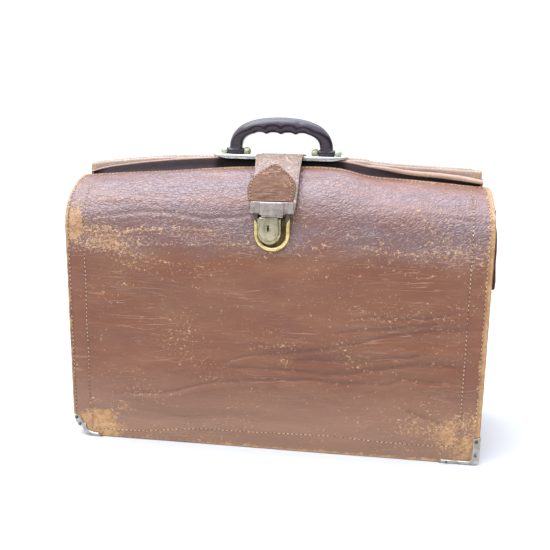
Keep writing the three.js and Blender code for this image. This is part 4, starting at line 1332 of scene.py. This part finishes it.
wing = [(-20.4, 262.5), (-21.2, 261.6), (-21.2, 252.4), (-20.3, 251.6), (-13.0, 251.6), (-12.4, 250.0)]
pad = [(-10.4, 262.4), (-12.0, 260.8), (-12.0, 250.8), (-10.4, 249.2)]
tongue = [(-10.4, 249.6), (-10.4, 247.3)]
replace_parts(hasp_part("hasp_plate", wing, -84.6, HASP_FACE, edge=0.6), "hasp")
hasp_part("hasp_pad", pad, HASP_FACE + 0.4, HASP_FACE - 1.5, edge=1.0, steps=4)
hasp_part("hasp_tongue", tongue, -78.6, -85.2, edge=0.4)


# ---- Lock ---------------------------------------------------------------------------------------
def tube(name, p, wide, tall, materials):
    """A rounded bar along a path in the XZ plane; `tall` is its height towards the front."""
    sides = 14
    t = np.gradient(p, axis=0)
    t /= np.linalg.norm(t, axis=1, keepdims=True)
    across = np.c_[-t[:, 2], np.zeros(len(p)), t[:, 0]]
    rings = []
    for i in range(len(p)):
        ring = []
        for k in range(sides):
            a = 2 * math.pi * k / sides
            up = max(math.sin(a), -0.15)
            ring.append(p[i] + across[i] * math.cos(a) * wide / 2 + np.array((0, -up * tall, 0)))
        rings.append(ring)
    return loft(name, rings, materials, sharp=60)


LOCK_BACK = -75.4
RING_X = 1.2  # the brass plate sits a little to the right of the button
BUTTON_X = -1.0


def lock():
    """Brass plate and rim, nickel body and lugs; the slide button with its keyhole rides its own body."""
    ring_path = resample(np.array(shifted(shield(15.7, 245.0, 214.6, 40), RING_X)), 70)
    ring_line = np.c_[ring_path[:, 0], np.full(70, LOCK_BACK - 0.6), ring_path[:, 1]]
    ring = tube("lock_brass_rim", ring_line, 5.4, 3.3, [brass])
    plate = slab("lock_brass_plate", shifted(shield(15.9, 245.6, 214.4), RING_X), LOCK_BACK, LOCK_BACK - 1.1,
                 [dark_brass], edge=0.3)
    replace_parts(plate, "lock_plate")
    body = slab("lock_nickel_body", shifted(shield(11.7, 245.6, 219.8), BUTTON_X), LOCK_BACK - 1.3,
                LOCK_BACK - 5.6, [button_metal], edge=1.2)
    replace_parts(body, "lock_body")
    lug_outline = [(-18.4, 250.6), (-18.9, 247.4), (-16.4, 243.2), (-13.2, 240.6), (-12.9, 250.6)]
    lugs = []
    for flip in (1, -1):
        outline = [(flip * u + RING_X, v) for u, v in lug_outline]
        end = "left" if flip > 0 else "right"
        lugs.append(slab(f"lock_lug_{end}", outline, LOCK_BACK - 1.2, LOCK_BACK - 5.0, [lug_steel], edge=1.2))
    for piece in (ring, plate, body, *lugs):
        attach(piece, "tub")

    slide = slab("lock_slide_button", shifted(shield(9.9, 247.2, 223.4, lean=0.5), BUTTON_X), LOCK_BACK - 5.9,
                 LOCK_BACK - 10.0, [button_metal], edge=1.6, steps=5, crown=0.4)
    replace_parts(slide, "lock_slide")
    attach(slide, "lock_button")
    key_side = [(0.9, 237.4), (0.8, 236.4), (0.55, 235.6), (1.15, 234.4), (0.75, 233.2), (0.5, 232.0)]
    key_outline = [(0.0, 238.2)] + key_side + [(0.0, 231.2)] + [(-x, z) for x, z in key_side[::-1]]
    key_shape = [(BUTTON_X - 0.4 + 1.25 * x, 1.8 + z) for x, z in key_outline][::-1]
    # The keyhole is a thin near-black slab on the button's face: painted shade for the opening.
    keyhole = slab("keyhole", key_shape, LOCK_BACK - 9.6, LOCK_BACK - 10.5, [hole_shade], edge=0.05, steps=1)
    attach(keyhole, "lock_button")


lock()


# ---- Handle plate, brackets and handle ----------------------------------------------------------
def boat(half, front, back, grow=0.0):
    """Outline of the handle plate in XY: straight sides that taper to rounded ends."""
    side = [(-half + 2 * grow, (front + back) / 2), (-half + 3, front + 6.5), (-half + 12, front + 1.6),
            (-half + 26, front)]
    lower = side + [(0, front)] + [(-x, y) for x, y in side[::-1]]
    upper = [(x, front + back - y) for x, y in lower[::-1]]
    ring = spline(lower + upper[1:-1] + [lower[0]], 121)[:-1]
    centre = np.array([0, (front + back) / 2])
    return centre + (ring - centre) * (1 - grow / np.array([half, (back - front) / 2]))


TOP_SHIFT = -1.2  # the plate and handle sit a little left of the middle


def tilted(points):
    """Top hardware moved sideways and leaning with the mouth."""
    points = np.array(points, float)
    points[..., 2] -= points[..., 0] * LEAN
    points[..., 0] += TOP_SHIFT
    return points


def handle_plate():
    """A shallow nickel tray; its front rim also turns down over the mouth's edge."""
    levels = [(1.6, 302.3, 0.0), (1.1, 302.3, 1.0), (0.15, 302.2, 1.0), (0.0, 302.6, 0.7), (0.0, 304.3, 0.0),
              (0.4, 304.85, 0.0), (1.1, 304.95, 0.0), (1.7, 304.5, 0.0), (2.0, 303.7, 0.0), (3.2, 303.5, 0.0)]
    rings = []
    for inset, z, lip in levels:
        p = boat(73, -18.2, 12, inset)
        turned = 1.8 * smooth((-12.5 - p[:, 1]) / 3.5) * smooth((68 - np.abs(p[:, 0])) / 14)
        rings.append(np.c_[p, z - lip * turned])
    obj = loft("handle_plate_nickel", tilted(rings), [nickel], sharp=60)
    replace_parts(obj, "handle_plate")
    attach(obj, "back_jaw")


handle_plate()

HANDLE_AXIS_Z = 308.0
BOSS_X = 49.0


def ear(name, x, outward):
    """A domed nickel ear beside the handle's foot."""
    profile = [(0.0, 3.9), (0.5, 4.3), (3.0, 4.3), (4.6, 4.0), (5.7, 3.3), (6.4, 2.1), (6.7, 0.3)]
    rings = []
    for depth, radius in profile:
        ring = []
        for k in range(28):
            a = 2 * math.pi * k / 28
            y, z = radius * math.cos(a), radius * math.sin(a)
            z = max(z, -4.1)
            if z < 0:
                y *= 1 + 0.12 * (-z / 5)
            ring.append((x + outward * (9.5 + depth), y, HANDLE_AXIS_Z + z))
        rings.append(ring)
    obj = loft(name, tilted(rings), [ear_nickel], sharp=50)
    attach(obj, "back_jaw")


for word, x in (("left", -BOSS_X), ("right", BOSS_X)):
    ear(f"bracket_{word}_inner_ear", x, -1 if x > 0 else 1)
    ear(f"bracket_{word}_outer_ear", x, 1 if x > 0 else -1)
    left_edge, right_edge = x + TOP_SHIFT - 15.5, x + TOP_SHIFT + 15.5
    low, high = 303.45 - x * LEAN, 303.8 - x * LEAN
    outline = [(left_edge, low), (right_edge, low), (right_edge, high), (left_edge, high)]
    foot = slab(f"bracket_{word}_foot", outline, 5.0, -5.0, [nickel], edge=0.2)
    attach(foot, "back_jaw")
    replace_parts(foot, f"handle_bracket_{word}")


def handle():
    """The moulded grip: a bow between two lines, with finger ridges on its underside."""
    stations, sides = 120, 36
    outer = [(-55.8, 307.5), (-55.8, 313), (-54.8, 319.6), (-50.6, 328), (-41.4, 336.3), (-26, 341.9),
             (-8.6, 344.1)]
    inner = [(-42.2, 307.5), (-42.0, 313), (-40.6, 319), (-36.8, 323.4), (-28.8, 326.9), (-17, 327.4),
             (-6, 327.4)]
    rings = []
    for top, under in zip(spline(mirrored(outer), stations), spline(mirrored(inner), stations)):
        grip = 1 - smooth((abs(under[0]) - 24) / 8)
        phase = math.pi * (under[0] + 31.2) / 15.6
        ridge = (abs(math.cos(phase)) ** 5) * grip
        under[1] += 0.9 * grip - 1.7 * ridge
        depth = 3.3 + 1.4 * smooth((top[1] - 307.5) / 6) + 3.4 * smooth((top[1] - 314) / 22)
        ring = []
        for k in range(sides):
            a = 2 * math.pi * k / sides
            up = math.copysign(abs(math.cos(a)) ** 0.85, math.cos(a))
            out = math.copysign(abs(math.sin(a)) ** 0.85, math.sin(a))
            share = (0.5 + 0.5 * up) ** 1.6
            waist = 0.12 * grip * (1 - ridge) * smooth(1 - share * 1.7)
            pinch = 1 - waist + 0.04 * ridge * smooth(1 - share * 1.5)
            x, z = under + (top - under) * share
            ring.append((x, depth * out * pinch, z))
        rings.append(ring)
    obj = loft("handle_grip", tilted(rings), [plastic], sharp=0)
    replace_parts(obj, "handle")
    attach(obj, "carry_handle")


handle()

boss_profile = ((-8.9, 2.9), (-8.7, 3.3), (-8.2, 3.6), (-3, 3.7), (3, 3.7), (8.2, 3.6), (8.7, 3.3),
                (8.9, 2.9))
for word, x in (("left", -BOSS_X), ("right", BOSS_X)):
    rings = []
    for depth, radius in boss_profile:
        a = np.linspace(0, 2 * math.pi, 33)[:-1]
        rings.append(np.c_[np.full(32, x + depth), radius * np.cos(a), HANDLE_AXIS_Z + radius * np.sin(a)])
    boss = loft(f"handle_boss_{word}", tilted(rings), [boss_plastic], sharp=50)
    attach(boss, "carry_handle")


# ---- Corner brackets ----------------------------------------------------------------------------
def leg_path(tip, foot, radius, x_edge, top):
    """From the tip of the base leg round the corner to the top of the side leg, in (x, z)."""
    count = 12
    a = np.linspace(-math.pi / 2, 0, 10)
    arc = np.c_[x_edge - radius + radius * np.cos(a), foot + radius + radius * np.sin(a)]
    base = np.c_[np.linspace(tip, x_edge - radius, count, endpoint=False), np.full(count, foot)]
    side = np.c_[np.full(count, x_edge), np.linspace(foot + radius, top, count + 1)[1:]]
    return np.vstack([base, arc, side])


def corner_bracket(place, side, facing, edge=HALF_W + 1.6, radius=5.0, base_leg=40.0, side_leg=30.0):
    """A bent nickel band whose front edge turns in over the face of the bag."""
    outer = leg_path(edge - base_leg, 0.15, radius, edge, side_leg)
    inner = leg_path(edge - base_leg + 2.5, 3.9, radius, edge - 7.2, side_leg - 2.0)
    section = [(0, -59.6), (0, -66), (0, -72), (0, -75.2), (0.06, -76.0), (0.16, -76.5), (0.4, -76.8),
               (0.7, -76.8), (0.92, -76.7), (1.0, -76.3)]
    grid = np.zeros((len(section), len(outer), 3))
    for r, (share, y) in enumerate(section):
        p = outer * (1 - share) + inner * share
        grid[r] = np.c_[p[:, 0], np.full(len(p), y), p[:, 1]]
    grid[..., 0] *= side
    grid[..., 1] *= -facing
    if side * facing > 0:
        grid = grid[:, ::-1]
    obj = shell(f"bracket_{place}", wear_round(grid), 0.9, [nickel, steel, nickel], sharp=40)
    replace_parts(obj, f"corner_bracket_{place}")
    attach(obj, "tub")


corner_bracket("front_right", 1, -1)
corner_bracket("front_left", -1, -1, edge=HALF_W + 0.2, radius=9.0, base_leg=30.0, side_leg=24.0)
corner_bracket("back_right", 1, 1)
corner_bracket("back_left", -1, 1)


def rivet(name, x, z, facing, radius):
    """A domed steel rivet head on a bracket's face."""
    centre = wear_round(np.array([[[x, 77.6 * facing, z]]]))[0, 0]
    rings = []
    for share, rise in ((1.0, -0.6), (1.0, 0.0), (0.93, 0.35), (0.75, 0.7), (0.45, 0.95), (0.12, 1.02)):
        a = np.linspace(0, 2 * math.pi, 25)[:-1]
        y = np.full(24, centre[1] + rise * facing * radius / 2)
        rings.append(np.c_[centre[0] + radius * share * np.cos(a), y, centre[2] + radius * share * np.sin(a)])
    obj = loft(name, rings, [rivet_steel], sharp=50)
    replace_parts(obj, f"corner_{name}")
    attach(obj, "tub")


corners = (("front_right", 1, -1), ("front_left", -1, -1), ("back_left", -1, 1), ("back_right", 1, 1))
for place, side, facing in corners:
    for i, (x, z, radius) in enumerate(((212, 11, 1.7), (212, 26, 1.7), (184, 2.1, 1.3))):
        if place == "front_left" and i == 1:
            z -= 5
        rivet(f"rivet_{place}_{i + 1}", side * x, z, facing, radius)


# ---- CAD nodes that keep their own shape --------------------------------------------------------
def finish_node(name, material, width=0.0):
    """Gives a CAD node its material and, where a width is given, rounded edges."""
    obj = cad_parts[name]
    if not obj.material_slots:
        obj.data.materials.append(None)
    for s in obj.material_slots:
        s.link = "OBJECT"
        s.material = material
    if width:
        bevel = obj.modifiers.new("bevel", "BEVEL")
        bevel.width = width * MM
        bevel.segments = 2
        bevel.limit_method = "ANGLE"
        bevel.angle_limit = math.radians(35)


for name in ("hinge_pin_right", "hinge_pin_left", "handle_pin_left", "handle_pin_right", "lock_back_plate"):
    finish_node(name, steel)
for name in ("front_frame", "back_frame"):
    finish_node(name, steel, 0.3)
for end in ("right", "left"):
    for place in ("front", "back"):
        finish_node(f"tab_rivet_{end}_{place}", nickel)
finish_node("base_board", board, 0.5)


# ---- Stage, light and camera --------------------------------------------------------------------
def stage_sheet(name, corners, material):
    """A flat sheet of the set, which is no part of the bag."""
    mesh = bpy.data.meshes.new(name)
    mesh.from_pydata(corners, [], [(0, 1, 2, 3)])
    mesh.materials.append(material)
    obj = bpy.data.objects.new(name, mesh)
    bpy.context.scene.collection.objects.link(obj)


pale = Nodes("pale_floor")
pale.set(Base_Color=(0.44, 0.43, 0.41, 1), Roughness=0.9, Specular_IOR_Level=0.1)
glow = Nodes("white_wall")
glow.set(Base_Color=(0, 0, 0, 1), Specular_IOR_Level=0.0, Emission_Color=(1, 1, 1, 1), Emission_Strength=1.05)
stage_sheet("floor", [(-8, -8, 0), (8, -8, 0), (8, 3.6, 0), (-8, 3.6, 0)], pale.material)
stage_sheet("white_wall", [(-8, 3.5, -0.5), (8, 3.5, -0.5), (8, 3.5, 5), (-8, 3.5, 5)], glow.material)


def studio_sky():
    """The room: brightest straight above and a little to the left, dim around the horizon."""
    world = bpy.data.worlds.new("studio")
    bpy.context.scene.world = world
    world.use_nodes = True
    sky = world.node_tree
    direction = sky.nodes.new("ShaderNodeTexCoord")
    toward = sky.nodes.new("ShaderNodeVectorMath")
    toward.operation = "DOT_PRODUCT"
    toward.inputs[1].default_value = (-0.2, 0.12, 0.97)
    sky.links.new(direction.outputs["Generated"], toward.inputs[0])
    strength = sky.nodes.new("ShaderNodeMath")
    for k, levels in enumerate(((0.08, 0.48, 0.25, 2.9), (0.68, 1.0, 0.0, 3.4))):
        rise = sky.nodes.new("ShaderNodeMapRange")
        rise.interpolation_type = "SMOOTHSTEP"
        for socket, level in zip(("From Min", "From Max", "To Min", "To Max"), levels):
            rise.inputs[socket].default_value = level
        sky.links.new(toward.outputs["Value"], rise.inputs["Value"])
        sky.links.new(rise.outputs["Result"], strength.inputs[k])
    sky.links.new(strength.outputs[0], sky.nodes["Background"].inputs["Strength"])
    sky.nodes["Background"].inputs["Color"].default_value = (0.89, 0.965, 1.14, 1)


studio_sky()


def sunlight(name, direction, strength, spread):
    """A sun lamp; `spread` is its angle in degrees."""
    light = bpy.data.lights.new(name, "SUN")
    light.energy = strength
    light.angle = math.radians(spread)
    obj = bpy.data.objects.new(name, light)
    obj.rotation_euler = Vector(direction).to_track_quat("-Z", "Y").to_euler()
    bpy.context.scene.collection.objects.link(obj)


sunlight("broad_ceiling_light", (0.3, 0.42, -0.86), 1.6, 40)


def camera():
    """A near view from right of the middle, at the height of the handle, looking slightly down."""
    scene = bpy.context.scene
    scene.view_settings.view_transform = "Standard"
    camera_data = bpy.data.cameras.new("camera")
    camera_data.sensor_width = 36.0
    camera_data.lens = 44.6
    camera_data.clip_start = 0.05
    camera_data.clip_end = 50
    obj = bpy.data.objects.new("camera", camera_data)
    scene.collection.objects.link(obj)
    yaw, pitch, roll = (math.radians(a) for a in (-7.965, 11.611, 0.845))
    forward = Vector((math.sin(yaw) * math.cos(pitch), math.cos(yaw) * math.cos(pitch), -math.sin(pitch)))
    level_right = Vector((math.cos(yaw), -math.sin(yaw), 0))
    level_up = level_right.cross(forward)
    right = level_right * math.cos(roll) + level_up * math.sin(roll)
    up = -level_right * math.sin(roll) + level_up * math.cos(roll)
    rotation = Matrix((right, up, -forward)).transposed().to_4x4()
    obj.matrix_world = Matrix.Translation((0.0975, -0.738, 0.326)) @ rotation
    scene.camera = obj


camera()
